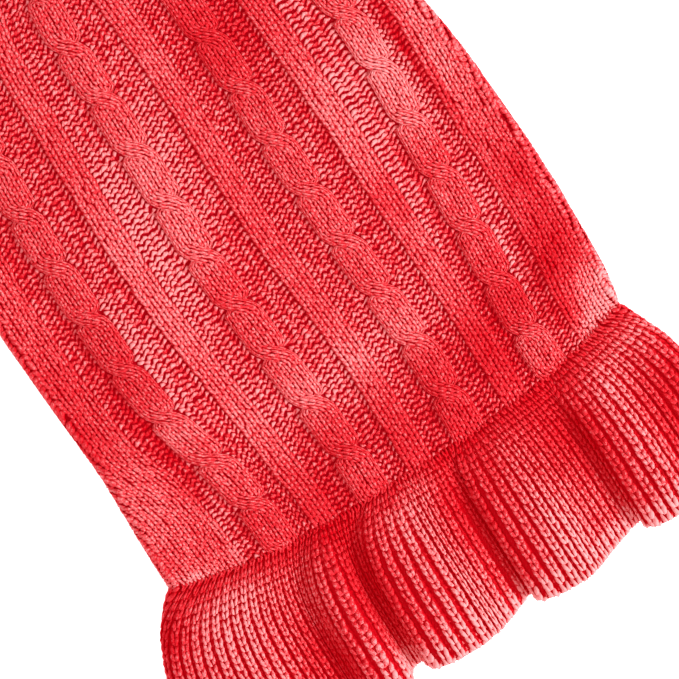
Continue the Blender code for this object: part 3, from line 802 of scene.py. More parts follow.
def make_sheet(name, columns, rows, place, size, wall, painted_light_share=shaded_under_stitches):
    """A sheet over a grid. place gives the points of the grid from two shares, and size is its size in mm.
    The last argument gives the painted light of the side with the stitches, from 0, painted shade, to 1."""
    bpy.ops.mesh.primitive_grid_add(x_subdivisions=columns, y_subdivisions=rows, size=2)
    sheet = bpy.context.object
    sheet.name = sheet.data.name = name
    flat = np.empty(3 * len(sheet.data.vertices))
    sheet.data.vertices.foreach_get("co", flat)
    across, along, _ = flat.reshape(-1, 3).T
    shares = across, (along + 1) / 2
    sheet.data.vertices.foreach_set("co", to_frame(place(*shares)).ravel())
    set_value(sheet.data, "painted_light_share", painted_light_share(*shares))
    cloth_map = sheet.data.uv_layers[0]
    cloth_map.name = "Cloth"
    spots = np.empty(2 * len(cloth_map.uv))
    cloth_map.uv.foreach_get("vector", spots)
    cloth_map.uv.foreach_set("vector", (spots.reshape(-1, 2) * size).ravel())
    sheet.data.materials.append(GROUND)
    sheet.data.shade_smooth()
    solidify = sheet.modifiers.new("wall", "SOLIDIFY")
    solidify.thickness, solidify.offset = wall * MM, -1
    alone(sheet)
    bpy.ops.object.mode_set(mode="EDIT")
    bpy.ops.mesh.select_all(action="SELECT")
    bpy.ops.mesh.remove_doubles(threshold=0.00001)
    bpy.ops.object.mode_set(mode="OBJECT")
    bpy.ops.object.modifier_apply(modifier=solidify.name)
    # Faces that lie on the table have no stitches over them, so they get no painted shade.
    facing_down = [vertex.normal.z < FACES_DOWN for vertex in sheet.data.vertices]
    openness = np.empty(len(sheet.data.vertices), np.float32)
    layer = sheet.data.attributes["painted_light_share"].data
    layer.foreach_get("value", openness)
    layer.foreach_set("value", np.maximum(facing_down, openness).astype(np.float32))
    print(name, "has", len(sheet.data.polygons), "faces")
    return sheet


# %% [markdown]
# The back's columns run from one tucked edge over the top to the other. The belly is flat and plain. Each
# sheet takes the place of its solid, rides on the body, and says how large the flat piece of knitting was.

# %% Back and belly
BACK_MAP, BELLY_MAP, BELLY_HEM_MAP = 200, 180, 190  # mm across the sheets' UV maps


def back_place(across, up):
    """The ground of the back, from one tucked edge to the other."""
    y = up * BODY_LENGTH
    q = across * cloth_end(y)
    return back_point(q, y, relief(q, y) - SINK)


def belly_half(y):
    """Half the width of the belly. It meets the back's edge, and the armhole's edge farther up."""
    lag = ARMHOLE_END + SEAM_GAP
    widened = eased(y, UNDERARM, UNDERARM + lag) * (1 - eased(y, SHOULDER - lag, SHOULDER))
    return (half_width(y) - SIDE_TUCK - SEAM_GAP) * (1 - widened) + armhole_edge(y) * widened


def belly_place(across, up):
    y = up * BODY_LENGTH
    return placed(belly_half(y) * across, y, KNIT_WALL)


back_sheet = make_sheet("back_cloth", 150, BODY_ROWS, back_place, (BACK_MAP, BODY_LENGTH), SHELL)
belly_sheet = make_sheet("belly_cloth", 24, 60, belly_place, (BELLY_MAP, BODY_LENGTH), KNIT_WALL)


# %% Ruffle
RUFFLE_SHELL = 1.1
RUFFLE_GROUND, RUFFLE_RIDGE, RUFFLE_GROOVE = -0.5, 0.25, 0.75  # mm, the last two once the grooves open


def between_ribs(s):
    """1 in the groove between two ribs, and 0 under the middle of a rib."""
    return np.cos(2 * math.pi * s) * 0.5 + 0.5


def ruffle_ground(s, t):
    """The ruffle's ground dips between its ribs."""
    return RUFFLE_GROUND + (RUFFLE_RIDGE - RUFFLE_GROOVE * between_ribs(s)) * eased(t, 0.08, 0.4)


def ruffle_painted_shade(across, down):
    """Painted shade: the grooves are painted half dark, and the flanks of the ribs lighter."""
    return 0.8 - 0.45 * between_ribs((across + 1) / 2 * RUFFLE_RIBS)


def ruffle_place(across, down):
    s, t = (across + 1) / 2 * RUFFLE_RIBS, 1 - down
    return ruffle_point(s, t, ruffle_ground(s, t))


def belly_ruffle_place(across, down):
    """The half of the ruffle that lies flat under the other, between its two tucked edges."""
    t = 1 - down
    hem_x = (HEM[0, 0] + SEAM_GAP) + (HEM[-1, 0] - HEM[0, 0] - 2 * SEAM_GAP) * (across + 1) / 2
    seam = placed(belly_half(0.0) * across, 0 * across, 0 * across) - (0, SEAM_GAP, 0)
    x = seam[:, 0] + (hem_x - seam[:, 0]) * spread(t)
    y = seam[:, 1] + (hem_height(hem_x, HEM[0, 1]) - seam[:, 1]) * t
    return np.stack([x, y, KNIT_WALL + 0 * x], axis=-1)


ruffle_size, belly_ruffle_map = (HEM_LENGTH, RUFFLE_LENGTH), (BELLY_HEM_MAP, RUFFLE_LENGTH)
ruffle_sheet = make_sheet(
    "ruffle_cloth", 4 * RUFFLE_RIBS, 24, ruffle_place, ruffle_size, RUFFLE_SHELL, ruffle_painted_shade
)
belly_ruffle_sheet = make_sheet(
    "belly_ruffle_cloth", 48, 16, belly_ruffle_place, belly_ruffle_map, KNIT_WALL
)

# %% Collar and sleeves
TUBE_SINK, TUBE_GROOVE = 0.6 * SINK, 0.7


def tube_sheet(name, ends, ribs, length, columns, rows):
    """A tube that dips between its ribs."""
    face = tube_inside(ends)

    def place(across, up):
        w = 2 * across
        ridge = np.cos(math.pi * ((w + 1) * ribs + 1)) * 0.5 + 0.5
        return above(face, w, up, -TUBE_SINK - TUBE_GROOVE * (1 - ridge), *TUBE_STEPS)

    left, right, _ = ends(np.array(0.0))
    girth = 2 * float(np.linalg.norm(right - left))
    return make_sheet(name, columns, rows, place, (girth, length), SHELL)


collar_sheet = tube_sheet("collar_cloth", collar_ends, COLLAR_RIBS, COLLAR_LENGTH, 8 * COLLAR_RIBS, 16)
sleeve_sheets = [
    tube_sheet(f"{word}_sleeve_cloth", sleeve_ends(side), SLEEVE_RIBS, SLEEVE_LENGTH, 10 * SLEEVE_RIBS, 16)
    for word, side in (("left", -1), ("right", 1))
]

# %% [markdown]
# ## One stitch
#
# A knit stitch shows two legs that lean apart like a V, and each is a short, plump stretch of yarn whose
# ends dip behind its neighbours. One leg is modelled from a small sphere of few faces: each of its rings is
# moved aside and down and made a little thicker, and then the whole is stretched. All the legs of the
# garment are copies of this one, bent with the cloth, so it may only have a few dozen triangles.
#
# The ruffle's thicker ribs need a leg of their own. It stands straighter, and its lower end curls in and
# comes up, so that two legs make a small U with a dark spot in it, and a column of them looks like a chain.
#
# The back of a knit stitch is the purl stitch. What it shows are the tops and the bottoms of the loops,
# short bows that lie across the cloth, and they come from a second small shape made the same way.


# %% A bead of yarn, shaped ring by ring
RING = math.sqrt(0.5)  # where the sphere's outer rings are
RING_SLACK = 0.03  # how near to a ring's place its vertices lie


def make_bead(name, along_x, half_sizes, moves):
    """A small closed stretch of yarn. moves has, for each ring and pole of the sphere: its place along the
    yarn from -1 to 1, how far it moves across, along and up, and how thick it stays."""
    turn = (math.radians(90), math.radians(18), math.radians(-90 if along_x else 0))
    bpy.ops.mesh.primitive_uv_sphere_add(segments=5, ring_count=4, radius=1, rotation=turn)
    bead = bpy.context.object
    bead.name = name
    bpy.ops.object.transform_apply(rotation=True)
    axis = 0 if along_x else 1
    bpy.ops.object.mode_set(mode="EDIT")
    bpy.ops.mesh.select_mode(type="VERT")
    for place, *move, thick in moves:
        bpy.ops.mesh.select_all(action="DESELECT")
        rings = bmesh.from_edit_mesh(bead.data)
        for vertex in rings.verts:
            vertex.select = abs(vertex.co[axis] - place) < RING_SLACK
        rings.select_flush_mode()
        bmesh.update_edit_mesh(bead.data)
        centre = [place if k == axis else 0.0 for k in range(3)]
        resize = [1.0 if k == axis else thick for k in range(3)]
        bpy.ops.transform.resize(value=resize, center_override=centre)
        bpy.ops.transform.translate(value=move)
    bpy.ops.mesh.select_all(action="SELECT")
    bpy.ops.transform.resize(value=half_sizes, center_override=(0, 0, 0))
    bpy.ops.object.mode_set(mode="OBJECT")
    return read_bead(bead)


def read_bead(bead):
    """The bead as arrays: points, corners of faces, faces' sizes, and UV map. The object is removed. A new
    sphere's faces come in another order each time, so they are sorted, and each run gives the same mesh."""
    data = bead.data
    points = np.array([vertex.co[:] for vertex in data.vertices])
    faces = sorted(data.polygons, key=lambda face: tuple(face.vertices))
    loops = [loop for face in faces for loop in face.loop_indices]
    corners = np.array([data.loops[loop].vertex_index for loop in loops])
    sizes = np.array([len(face.vertices) for face in faces])
    spots = np.array([data.uv_layers[0].uv[loop].vector[:] for loop in loops])
    bpy.data.objects.remove(bead)
    print("a bead of", len(points), "points, its crown at", points[:, 2].max().round(2), "mm")
    return points, corners, sizes, spots


# %% The leg of a knit stitch and the bow of a purl stitch
LEG_HALF = (0.255, 0.80, 0.50)  # in wales, courses and mm
LEG = make_bead("leg", False, LEG_HALF, [
    # place, across, along, up, thickness
    (-1.0, 0.45, 0.0, -1.00, 1.0),
    (-RING, 0.62, 0.0, -0.72, 1.08),
    (0.0, 1.03, 0.0, -0.68, 1.0),
    (RING, 1.36, 0.0, -0.84, 1.12),
    (1.0, 1.45, 0.0, -1.55, 1.0),
])
RIB_LEG_HALF = (0.187, 0.76, 0.52)
RIB_LEG = make_bead("rib leg", False, RIB_LEG_HALF, [
    (-1.0, 0.08, 0.20, -0.70, 1.1),
    (-RING, 0.66, 0.0, -0.54, 1.15),
    (0.0, 1.14, 0.0, -0.58, 1.15),
    (RING, 1.46, 0.0, -0.85, 1.1),
    (1.0, 1.54, 0.0, -1.30, 1.0),
])
BOW_HALF = (0.46, 0.375, 0.66)
BOW = make_bead("bow", True, BOW_HALF, [
    (-1.0, 0.0, -0.75, -1.5, 1.0),
    (-RING, 0.0, -0.38, -0.95, 1.0),
    (0.0, 0.0, 0.25, -0.65, 1.05),
    (RING, 0.0, -0.3, -0.95, 1.0),
    (1.0, 0.0, -0.7, -1.5, 1.0),
])

# %% [markdown]
# ## Knitting
#
# A piece of knitting is one mesh that holds many copies of a bead. Each copy gets a small change of size,
# place and tone, because no two real stitches are alike. A function says where a vertex of a stitch goes on
# the face, so that wales can run in curves and stitches bend round folds. Every copy also gets its own cell
# of a UV map, where its surface lies flat and overlaps nothing, for baking, and a second map measured along
# the yarn.

# %% Many beads as one mesh
UNEVEN = {"across": 0.03, "along": 0.07, "size": 0.06, "height": 0.07}  # from stitch to stitch
MIXED = 0.3  # how much the tone varies from stitch to stitch
CELL_EDGE = 0.06  # the free edge of a bead's cell in the map for baking, as a share of the cell
YARN_START = 40.0  # mm within which each bead's place along the yarn is drawn


def knit(name, bead, sides, place, seed, flips=1.0, paler=0.0):
    """A mesh of one bead for each row of sides, which is 1 or mirrored with -1. place(across, along, height)
    gives the vertices' points from their places in their own stitch. flips turns a bead over from top to
    bottom where it is -1, and paler lightens its tone. All three are columns with a row for each bead."""
    points, corners, sizes, spots = bead
    count, dice = len(sides), np.random.default_rng(seed)
    jitter = {key: dice.normal(0, amount, (count, 1)) for key, amount in UNEVEN.items()}
    across = points[:, 0] * (1 + jitter["size"]) * sides + jitter["across"]
    along = points[:, 1] * (1 + jitter["size"]) * flips + jitter["along"]
    height = points[:, 2] * (1 + jitter["height"])
    places_mm = place(across, along, height).reshape(-1, 3)
    turned = sides * flips < 0
    backward = np.concatenate([np.arange(e, e - s, -1) for s, e in zip(sizes, np.cumsum(sizes) - 1)])
    numbers = np.where(turned, corners[backward], corners) + np.arange(count)[:, None] * len(points)
    maps = np.where(turned[..., None], spots[backward], spots)
    mesh = bpy.data.meshes.new(name)
    mesh.vertices.add(count * len(points))
    mesh.vertices.foreach_set("co", to_frame(places_mm).ravel())
    mesh.loops.add(count * len(corners))
    mesh.loops.foreach_set("vertex_index", numbers.ravel())
    mesh.polygons.add(count * len(sizes))
    all_sizes = np.tile(sizes, count)
    mesh.polygons.foreach_set("loop_start", np.concatenate([[0], np.cumsum(all_sizes)[:-1]]))
    mesh.update(calc_edges=True)
    set_maps(mesh, maps, count, dice)
    crown = (points[:, 2] - points[:, 2].min()) / (points[:, 2].max() - points[:, 2].min())
    set_value(mesh, "rise", np.tile(crown, count))
    tone = 0.5 + (dice.random((count, 1)) - 0.5) * MIXED + paler
    set_value(mesh, "tone", np.repeat(tone, len(points)))
    mesh.shade_smooth()
    mesh.materials.append(YARN)
    piece = bpy.data.objects.new(name, mesh)
    bpy.context.scene.collection.objects.link(piece)
    mesh.validate()
    print(name, "has", count, "beads and", int((all_sizes - 2).sum()), "triangles")
    return piece


def set_maps(mesh, maps, count, dice):
    """A cell for each bead in the map for baking, and millimetres along the yarn in the other."""
    across = math.ceil(math.sqrt(count))
    cells = np.stack([np.arange(count) % across, np.arange(count) // across], axis=-1)[:, None, :]
    baking = (cells + CELL_EDGE + (1 - 2 * CELL_EDGE) * maps) / across
    yarn_length = 2 * LEG_HALF[1] * COURSE
    started = dice.random((count, 1)) * YARN_START
    along = np.stack([maps[..., 0], maps[..., 1] * yarn_length + started], axis=-1)
    for name, values in (("Yarn", along), ("OFBake", baking)):
        layer = mesh.uv_layers.new(name=name)
        layer.uv.foreach_set("vector", values.astype(np.float32).ravel())


def rows_of(wales, rows, row_height):
    """For a block of stitches: wale, height and side of every leg, as columns. Two legs make a stitch."""
    wale, row, side = np.meshgrid(np.arange(wales), np.arange(rows), (-1.0, 1.0), indexing="ij")
    return wale.reshape(-1, 1), (row.reshape(-1, 1) + 0.5) * row_height, side.reshape(-1, 1)


print("the body has", BODY_ROWS, "rows of", round(COURSE, 2), "mm")

# %% [markdown]
# ## Painted light and shade
#
# The crowns of the stitches are painted paler, as a highlight. Light also pools on some stretches of the
# cloth and leaves others in shade more than its relief shows, so a table of soft patches, like the waves,
# paints that light and shade onto the tone of whole groups of stitches.

# %% Painted light and shade on the body
PAINTED_LIGHT_AND_SHADE = np.array([
    # across, height, half width, half length, change of tone by painted light and shade
    (5, 10, 60, 20, -0.7), (52, 24, 18, 16, -0.6), (-69, 62, 4, 46, -0.7), (86, 42, 14, 12, -0.9),
    (90, 15, 12, 9, 0.9), (-36, 122, 12, 42, 1.3), (-12, 138, 8, 32, 0.7), (-58, 84, 5, 32, 0.8),
    (56, 118, 14, 24, 0.9), (-22, 88, 7, 9, -0.4), (62, 90, 7, 8, -0.3), (79.5, 126, 2.6, 26, -1.4),
    (39, 115, 4, 24, -0.5), (57, 115, 4, 8, -0.6), (67, 52, 3, 14, 0.5), (-70, 50, 10, 12, -0.4),
    (-94, 68, 6, 9, -0.6), (74, 126, 5, 24, 0.8), (-72, 85, 5, 30, -0.4), (-62, 78, 3.5, 30, 0.8),
    (50, 95, 4, 40, 0.5), (30, 110, 5, 14, 0.4), (82, 68, 6, 10, -0.2), (95, 55, 4, 20, 0.6),
    (67, 46, 4, 18, 0.8), (74, 15, 5, 9, -0.8), (84, 5, 12, 5, 1), (55, 65, 5, 40, -0.35),
    (71, 72, 5, 9, 0.4), (-82, 1.5, 9, 4, 1), (-10, 9, 9, 7, 0.7), (-45, 142, 6, 28, -0.9),
    (-50, 104, 7, 10, -0.4), (-28, 76, 5, 14, -0.5), (-5, 102, 6, 20, -0.3), (53, 46, 9, 18, -0.4),
    (62, 15, 6, 10, 0.8), (-90, 86, 15, 24, -0.4), (-86, 36, 12, 24, 0.3), (32, 168, 20, 20, -0.8),
    (-4, 44, 44, 9, 0.6), (90, 68, 10, 12, -0.6), (50, 162, 7, 12, 0.7), (57, 93, 4, 9, -0.5),
    (42, 84, 5, 10, -0.4), (-78, 138, 5, 12, -0.4), (-72, 68, 5, 12, -0.4), (-57, 46, 5, 6, -0.5),
    (-62, 90, 3, 18, 0.4), (-62, 12, 8, 4, -0.4), (-68, 22, 4, 7, 0.6), (6, 6, 8, 8, 0.1),
    (5, 83, 32, 6, 0.1), (-67, 10, 4, 9, 0.9), (-93, 14, 5, 5, -0.2), (-27, 6, 8, 6, -0.4),
    (77, 33, 6, 7, -0.6), (-28, 162, 10, 10, -0.3), (-34, 34, 5, 12, 0.4), (-8, 34, 5, 10, 0.4),
    (9, 24, 5, 12, 0.4), (31, 14, 6, 6, 0.4), (32, 54, 5, 8, 0.4), (48, 70, 5, 18, 0.4),
    (15, 62, 4, 10, 0.3), (-34, 57, 5, 8, 0.3), (92, 138, 6, 8, 0.5), (70, 128, 5, 10, 0.4),
    (0, 166, 8, 10, 0.3), (97, 36, 5, 12, 0.8), (86, 118, 5, 16, 0.6),
])
print(len(PAINTED_LIGHT_AND_SHADE), "patches of tone")

# %% [markdown]
# ## The plain side bands
#
# Between the patterned middle and each side lies a band of plain knitting. Its wales run beside the
# pattern's edge, and where the band is narrow the outer ones go round the fold and under. So each wale
# keeps its distance to the pattern, and a stitch is left out where its wale has left the cloth or faces the
# table.


# %% Side bands
WOBBLES = [(1.0, 5.3, 2.1), (0.7, 2.1, 4.7)]  # share, length in mm, and shift from one wale to the next


def wobble(wale, y, amount=0.16):
    """Wales never run quite straight."""
    return sum(amount * share * np.sin(y / length + wale * shift) for share, length, shift in WOBBLES)


def make_side_band(name, side, edge, seed):
    """The band on one side, from the pattern's edge outward."""
    wales = math.ceil(float((cloth_end(FINE) - edge(FINE)).max()) / WALE)
    wale, y, leg = rows_of(wales, BODY_ROWS, COURSE)
    from_edge = (wale + 0.5) * WALE
    facing_table = flat_end(y) + 0.85 * math.pi * FOLD_RADIUS
    limit = np.where(closed_side(y) > 0.5, facing_table, cloth_end(y) - 0.2 * WALE)
    kept = (edge(y) + from_edge < limit)[:, 0]
    wale, y, leg, from_edge = wale[kept], y[kept], leg[kept], from_edge[kept]

    def place(across, along, height):
        v = y + along * COURSE
        q = side * (edge(v) + from_edge) + across * WALE + wobble(wale, v)
        return back_point(q, v, height)

    # painted light and shade from the patches
    return knit(name, LEG, leg, place, seed, paler=humps(side * (edge(y) + from_edge), y, PAINTED_LIGHT_AND_SHADE))


back_pieces = [
    make_side_band("left_band", -1, left_band, 11),
    make_side_band("right_band", 1, right_band, 12),
]

# %% [markdown]
# ## Ribs
#
# Each of the three ribs is three wales of plain knitting that stand up from the purl ground, because
# knitting curls toward its back at its edges. The outer wales lean over a little.

# %% Three ribs of three wales
RIB_WALES = 3
RIB_ROUND = 0.35  # how much lower the edges of a rib are


def make_rib(name, centre, seed):
    """A rib along the curve of its middle."""
    wale, y, leg = rows_of(RIB_WALES, BODY_ROWS, COURSE)

    def place(across, along, height):
        v = y + along * COURSE
        offset = (wale + 0.5 + across) / RIB_WALES * 2 - 1
        q = centre(v) + offset * RIB_HALF * squeeze(v) + wobble(wale, v, 0.08)
        return back_point(q, v, height + (RIB_RELIEF - RIB_ROUND * offset ** 4) * relief_share(v))

    # painted light and shade from the patches
    return knit(name, LEG, leg, place, seed, paler=humps(centre(y), y, PAINTED_LIGHT_AND_SHADE))


back_pieces += [make_rib(f"rib_{k + 1}", centres[2 * k + 1], 20 + k) for k in range(3)]

# %% [markdown]
# ## Cables
#
# A cable has six wales, three on each strand. A stitch sits on its strand's arch: its address across is an
# angle over the arch, so the legs on its flanks lean outward. While the strands lie side by side, each
# hides part of the other, and its wales share what shows. Where it crosses in front, they spread over the
# whole arch.

# %% Four rope cables
STRAND_WALES = 3
FLANK = math.radians(88)
HIDDEN_FROM = math.asin(STRAND_OFFSET / STRAND_HALF)  # the angle at which the other strand covers this one


def make_cable(name, cable, seed):
    """One of the four cables, counted from the left."""
    centre = centres[2 * cable]
    wale, y, leg = rows_of(2 * STRAND_WALES, BODY_ROWS, COURSE)
    strand = np.where(wale < STRAND_WALES, 1.0, -1.0)

    def place(across, along, height):
        v = y + along * COURSE
        spot, crown = strand_at(cable, strand, v)
        lean = np.clip(spot / STRAND_OFFSET, -1, 1)
        first = -FLANK + (FLANK - HIDDEN_FROM) * np.clip(lean, 0, 1)
        last = FLANK - (FLANK - HIDDEN_FROM) * np.clip(-lean, 0, 1)
        share = (wale % STRAND_WALES + 0.5 + across) / STRAND_WALES
        angle = first + (last - first) * share
        half = CABLE_HALF * squeeze(v)
        width, rise = STRAND_HALF * half, np.maximum(crown, 0.3)
        out = np.stack([np.sin(angle) / width, np.cos(angle) / rise])
        out /= np.linalg.norm(out, axis=0)
        q = centre(v) + spot * half + width * np.sin(angle) + height * out[0]
        return back_point(q, v, rise * np.cos(angle) + height * out[1] + wobble(wale, v, 0.03))

    # painted light and shade from the patches
    return knit(name, LEG, leg, place, seed, paler=humps(centre(y), y, PAINTED_LIGHT_AND_SHADE))


back_pieces += [make_cable(f"cable_{k + 1}", k, 30 + k) for k in range(4)]

# %% [markdown]
# ## The purl ground
#
# Between ribs and cables the cloth shows its purl side. Each stitch gives a bow over its wale and one
# turned upside down between it and the next, so a row of them winds across the ground like a low wave.
# Beside a cable the ground follows the cable's edge, which draws in wherever the strands cross.

# %% Purl between the bands
PURL_WALE = 3.1
BOW_OFFSET = 0.15  # of a course, up for the bows and down for those between
BOW_SLANT = 0.38  # courses up for each wale across, because yarn is twisted
LOW_BOW = 0.22  # mm by which the bows between lie deeper
# The second is painted light on the bows over a wale and painted shade on the deeper bows between.
PURL_PALER, UP_PAINTED_LIGHT = 0.20, 0.34  # of all bows, and of those over a wale against those between
PURL_MIX = 0.22  # how much the tone of its stitches varies
PURL_UNDER = 0.7  # mm of the ground that run on under a rib, a cable or a band


def make_purl(name, first, last, seed):
    """The ground from one curve to the next, both in mm from the middle of the cloth."""
    wales = round(float((last(FINE) - first(FINE)).mean()) / PURL_WALE)
    step, y, up = rows_of(2 * wales, BODY_ROWS, COURSE)
    kept = (np.where(step % 2 == 0, 1, -1) == up)[:, 0]  # each half wale has one bow, not two
    step, y, up = step[kept], y[kept], up[kept]

    def place(across, along, height):
        v = y + (along + up * BOW_OFFSET + across * BOW_SLANT) * COURSE
        share = (step / 2 + 0.5 + across) / wales
        q = first(v) + (last(v) - first(v)) * np.clip(share, -0.02, 1.02)
        deeper = PURL_RELIEF * relief_share(v) - LOW_BOW * (up < 0)
        return back_point(q, v + wobble(step / 2, q * 2, 0.22), height + deeper)

    middle_of_bow = first(y) + (last(y) - first(y)) * (step / 2 + 0.5) / wales
    # painted light and shade from the patches and on the upper bows
    paler = humps(middle_of_bow, y, PAINTED_LIGHT_AND_SHADE) + PURL_PALER + UP_PAINTED_LIGHT * up
    paler += np.random.default_rng(seed).normal(0, PURL_MIX, y.shape)
    return knit(name, BOW, np.ones(y.shape), place, seed, up, paler)


def cable_reach(cable, side, y):
    """How far a cable reaches to one side, of its half width. It draws in where its strands cross."""
    nearer = np.maximum(*(side * strand_at(cable, strand, y)[0] for strand in (1, -1)))
    return np.minimum(nearer + STRAND_HALF, 1.0)


def edge_of(number, side):
    """The left or right edge of a cable or rib, as a curve."""
    def edge(y):
        half = RIB_HALF if number % 2 else CABLE_HALF * cable_reach(number // 2, side, y)
        return centres[number](y) + side * (half - PURL_UNDER) * squeeze(y)

    return edge


edges = [(lambda y: -left_band(y) - PURL_UNDER, edge_of(0, -1))]
edges += [(edge_of(k, 1), edge_of(k + 1, -1)) for k in range(6)]
edges += [(edge_of(6, 1), lambda y: right_band(y) + PURL_UNDER)]
back_pieces += [make_purl(f"purl_{k + 1}", *pair, 40 + k) for k, pair in enumerate(edges)]

# %% [markdown]
# ## The ruffle's ribs
#
# The ruffle is knitted in single rib: one wale stands up as a rounded chain of stitches and the next sinks
# behind it. Near the seam the ribs press together, and toward the hem dark grooves open between them, with
# the purl side of the sunk wale at their bottom. The hem ends in a row of tight loops, two for each rib.

# %% Chains of the ruffle
RUFFLE_ROW = 2.5
ROW_GROWTH = 0.08  # rows are shorter than that near the seam, and longer near the hem
CHAIN_HALF, CHAIN_RISE = 2.15, 0.8
CHAIN_SPAN = math.radians(62)
CHAIN_LIFT = 0.35
PITCH_SHARE = 0.52  # of the distance between two ribs: the most that half a rib takes up
SEAM_LAP = 0.016  # of the ruffle's length, by which its first row lies over the seam
CHAIN_END = 0.995  # of the ruffle's length


def on_chain(across, height, half, rise):
    """Across and up on a rounded chain, from a stitch's own place across, which runs from -0.5 to 0.5."""
    angle = 2 * across * CHAIN_SPAN
    out = np.stack([np.sin(angle) / half, np.cos(angle) / rise])
    out = out / np.linalg.norm(out, axis=0)
    return half * np.sin(angle) + height * out[0], rise * (np.cos(angle) - 1) + height * out[1]


RUFFLE_ROWS = round(RUFFLE_LENGTH / RUFFLE_ROW)
rib, down, leg = rows_of(RUFFLE_RIBS, RUFFLE_ROWS, 1 / RUFFLE_ROWS)


def row_down(share):
    """Rows grow from the seam to the hem."""
    return share - ROW_GROWTH * share * (1 - share) * 2


def chain_place(across, along, height):
    t = np.minimum(row_down(down - along / RUFFLE_ROWS), CHAIN_END) - SEAM_LAP * (1 - eased(down, 0, 0.3))
    pitch = rib_pitch(rib + 0.5, t)
    rise = CHAIN_RISE * (0.2 + 0.8 * eased(t, 0.05, 0.38))
    aside, up = on_chain(across, height, np.minimum(CHAIN_HALF, PITCH_SHARE * pitch), rise)
    return ruffle_point(rib + 0.5 + aside / pitch, t, up + CHAIN_LIFT)


print("the ruffle has", RUFFLE_ROWS, "rows")

# %% [markdown]
# The ruffle's ribs get soft patches of painted light and shade too. Besides, they are painted paler on the
# ridges and along the hem, where the loops lie open to the light, and deeper next to the seam, as shade
# where they are squeezed.

# %% Painted light and shade on the ruffle, and its ribs
RUFFLE_PAINTED_LIGHT_AND_SHADE = np.array([
    # across, height, half width, half length, change of tone by painted light and shade
    (-82, -15, 16, 13, 0.7), (-103, -3, 7, 8, -1.4), (-74, -4, 12, 7, 0.77), (24, -12, 5, 12, -0.6),
    (-8, -16, 9, 14, 0.51), (-57, -38, 8, 12, -0.9), (-42, -50, 4, 12, 0.3), (-55, -48, 4, 8, -0.6),
    (85, -35, 5, 9, -0.6), (90, 1, 12, 8, 0.6), (75, -10, 7, 9, 0.59), (3, -4, 8, 6, 0.8),
    (-14, -57, 9, 8, 1.2), (32, -56, 9, 8, 1.2), (-33, -22, 9, 26, -1.1), (-4, -46, 10, 14, 0.68),
    (10, -20, 9, 24, -0.9), (35, -44, 6, 13, 1.1), (52, -14, 12, 14, -0.8), (60, -30, 6, 16, -0.7),
    (75, -36, 6, 20, 0.4), (95, -26, 9, 14, -0.9), (-78, -34, 8, 8, 0.5), (-37, -56, 6, 8, 1),
    (50, -46, 9, 8, 0.3), (-112, -14, 5, 8, -0.8),
])
# Painted light on the ridges and along the hem, painted shade next to the seam, and the chains' own small
# lift of tone.
RIDGE_PAINTED_LIGHT, HEM_PAINTED_LIGHT, SEAM_PAINTED_SHADE, CHAIN_PALER = 0.4, 2.6, 0.9, 0.05
MIDDLE_HEIGHT = 0.62  # of the highest ridge, where a rib is neither paler nor deeper


def painted_ruffle_shading(place):
    """The painted light and shade at the middle of each stitch."""
    middles = place(*np.zeros((3, 1)))
    return humps(middles[..., 0], middles[..., 1], RUFFLE_PAINTED_LIGHT_AND_SHADE)


fold_height = np.interp(rib + 0.5, hem_ribs, hem_line[:, 1])
# Painted light on the ridges and along the hem, painted shade next to the seam, and the painted patches.
paler = RIDGE_PAINTED_LIGHT * (fold_height / HEM[:, 1].max() - MIDDLE_HEIGHT) * eased(down, 0.05, 0.4)
paler += HEM_PAINTED_LIGHT * eased(down, 0.85, 1.0) - SEAM_PAINTED_SHADE * (1 - eased(down, 0.04, 0.2))
paler += CHAIN_PALER + painted_ruffle_shading(chain_place)
ruffle_ribs = knit("ruffle_ribs", RIB_LEG, leg, chain_place, 60, paler=paler)


# %% The wales that sink between the ribs
GROOVE_DEPTH = 1.0
GROOVE_FROM, GROOVE_END = 0.03, 0.985  # of the ruffle's length
GROOVE_STITCH = 0.8  # of a bow's width and height
# Painted shade in the grooves as they open, and painted light along the hem.
GROOVE_PAINTED_SHADE, GROOVE_HEM_PAINTED_LIGHT = -1.9, 1.5

groove, groove_down, half = rows_of(RUFFLE_RIBS + 1, RUFFLE_ROWS, 1 / RUFFLE_ROWS)
shown = ((half > 0) & (groove_down > GROOVE_FROM))[:, 0]  # one bow to a row
groove, groove_down = groove[shown], groove_down[shown]
opened = eased(groove_down, 0.12, 0.48)  # near the seam the grooves are still shut


def groove_place(across, along, height):
    t = np.minimum(row_down(groove_down - along / RUFFLE_ROWS), GROOVE_END)
    lift = GROOVE_STITCH * height - GROOVE_DEPTH * (0.4 + 0.6 * opened)
    return ruffle_point(groove + GROOVE_STITCH * across, t, lift)


# painted shade in the opening grooves, painted light along the hem, and the painted patches
groove_painted_shading = GROOVE_PAINTED_SHADE * (0.25 + 0.75 * opened) + GROOVE_HEM_PAINTED_LIGHT * eased(groove_down, 0.85, 1.0)
groove_painted_shading += painted_ruffle_shading(groove_place)
ruffle_grooves = knit("ruffle_grooves", BOW, np.ones(groove.shape), groove_place, 62, paler=groove_painted_shading)

# %% The row of loops along the hem
LOOPS_PER_RIB = 2
HEM_LOOP, LOOP_WIDTH = 2.4, 1.15  # a loop's length in mm, and its width over its share of a rib
LOOP_AT = 0.992  # of the ruffle's length
LOOP_LIFT, LOOP_DIP = 0.15, 0.7
# Painted light: the loops along the hem are painted pale.
LOOP_PAINTED_LIGHT = 2.8


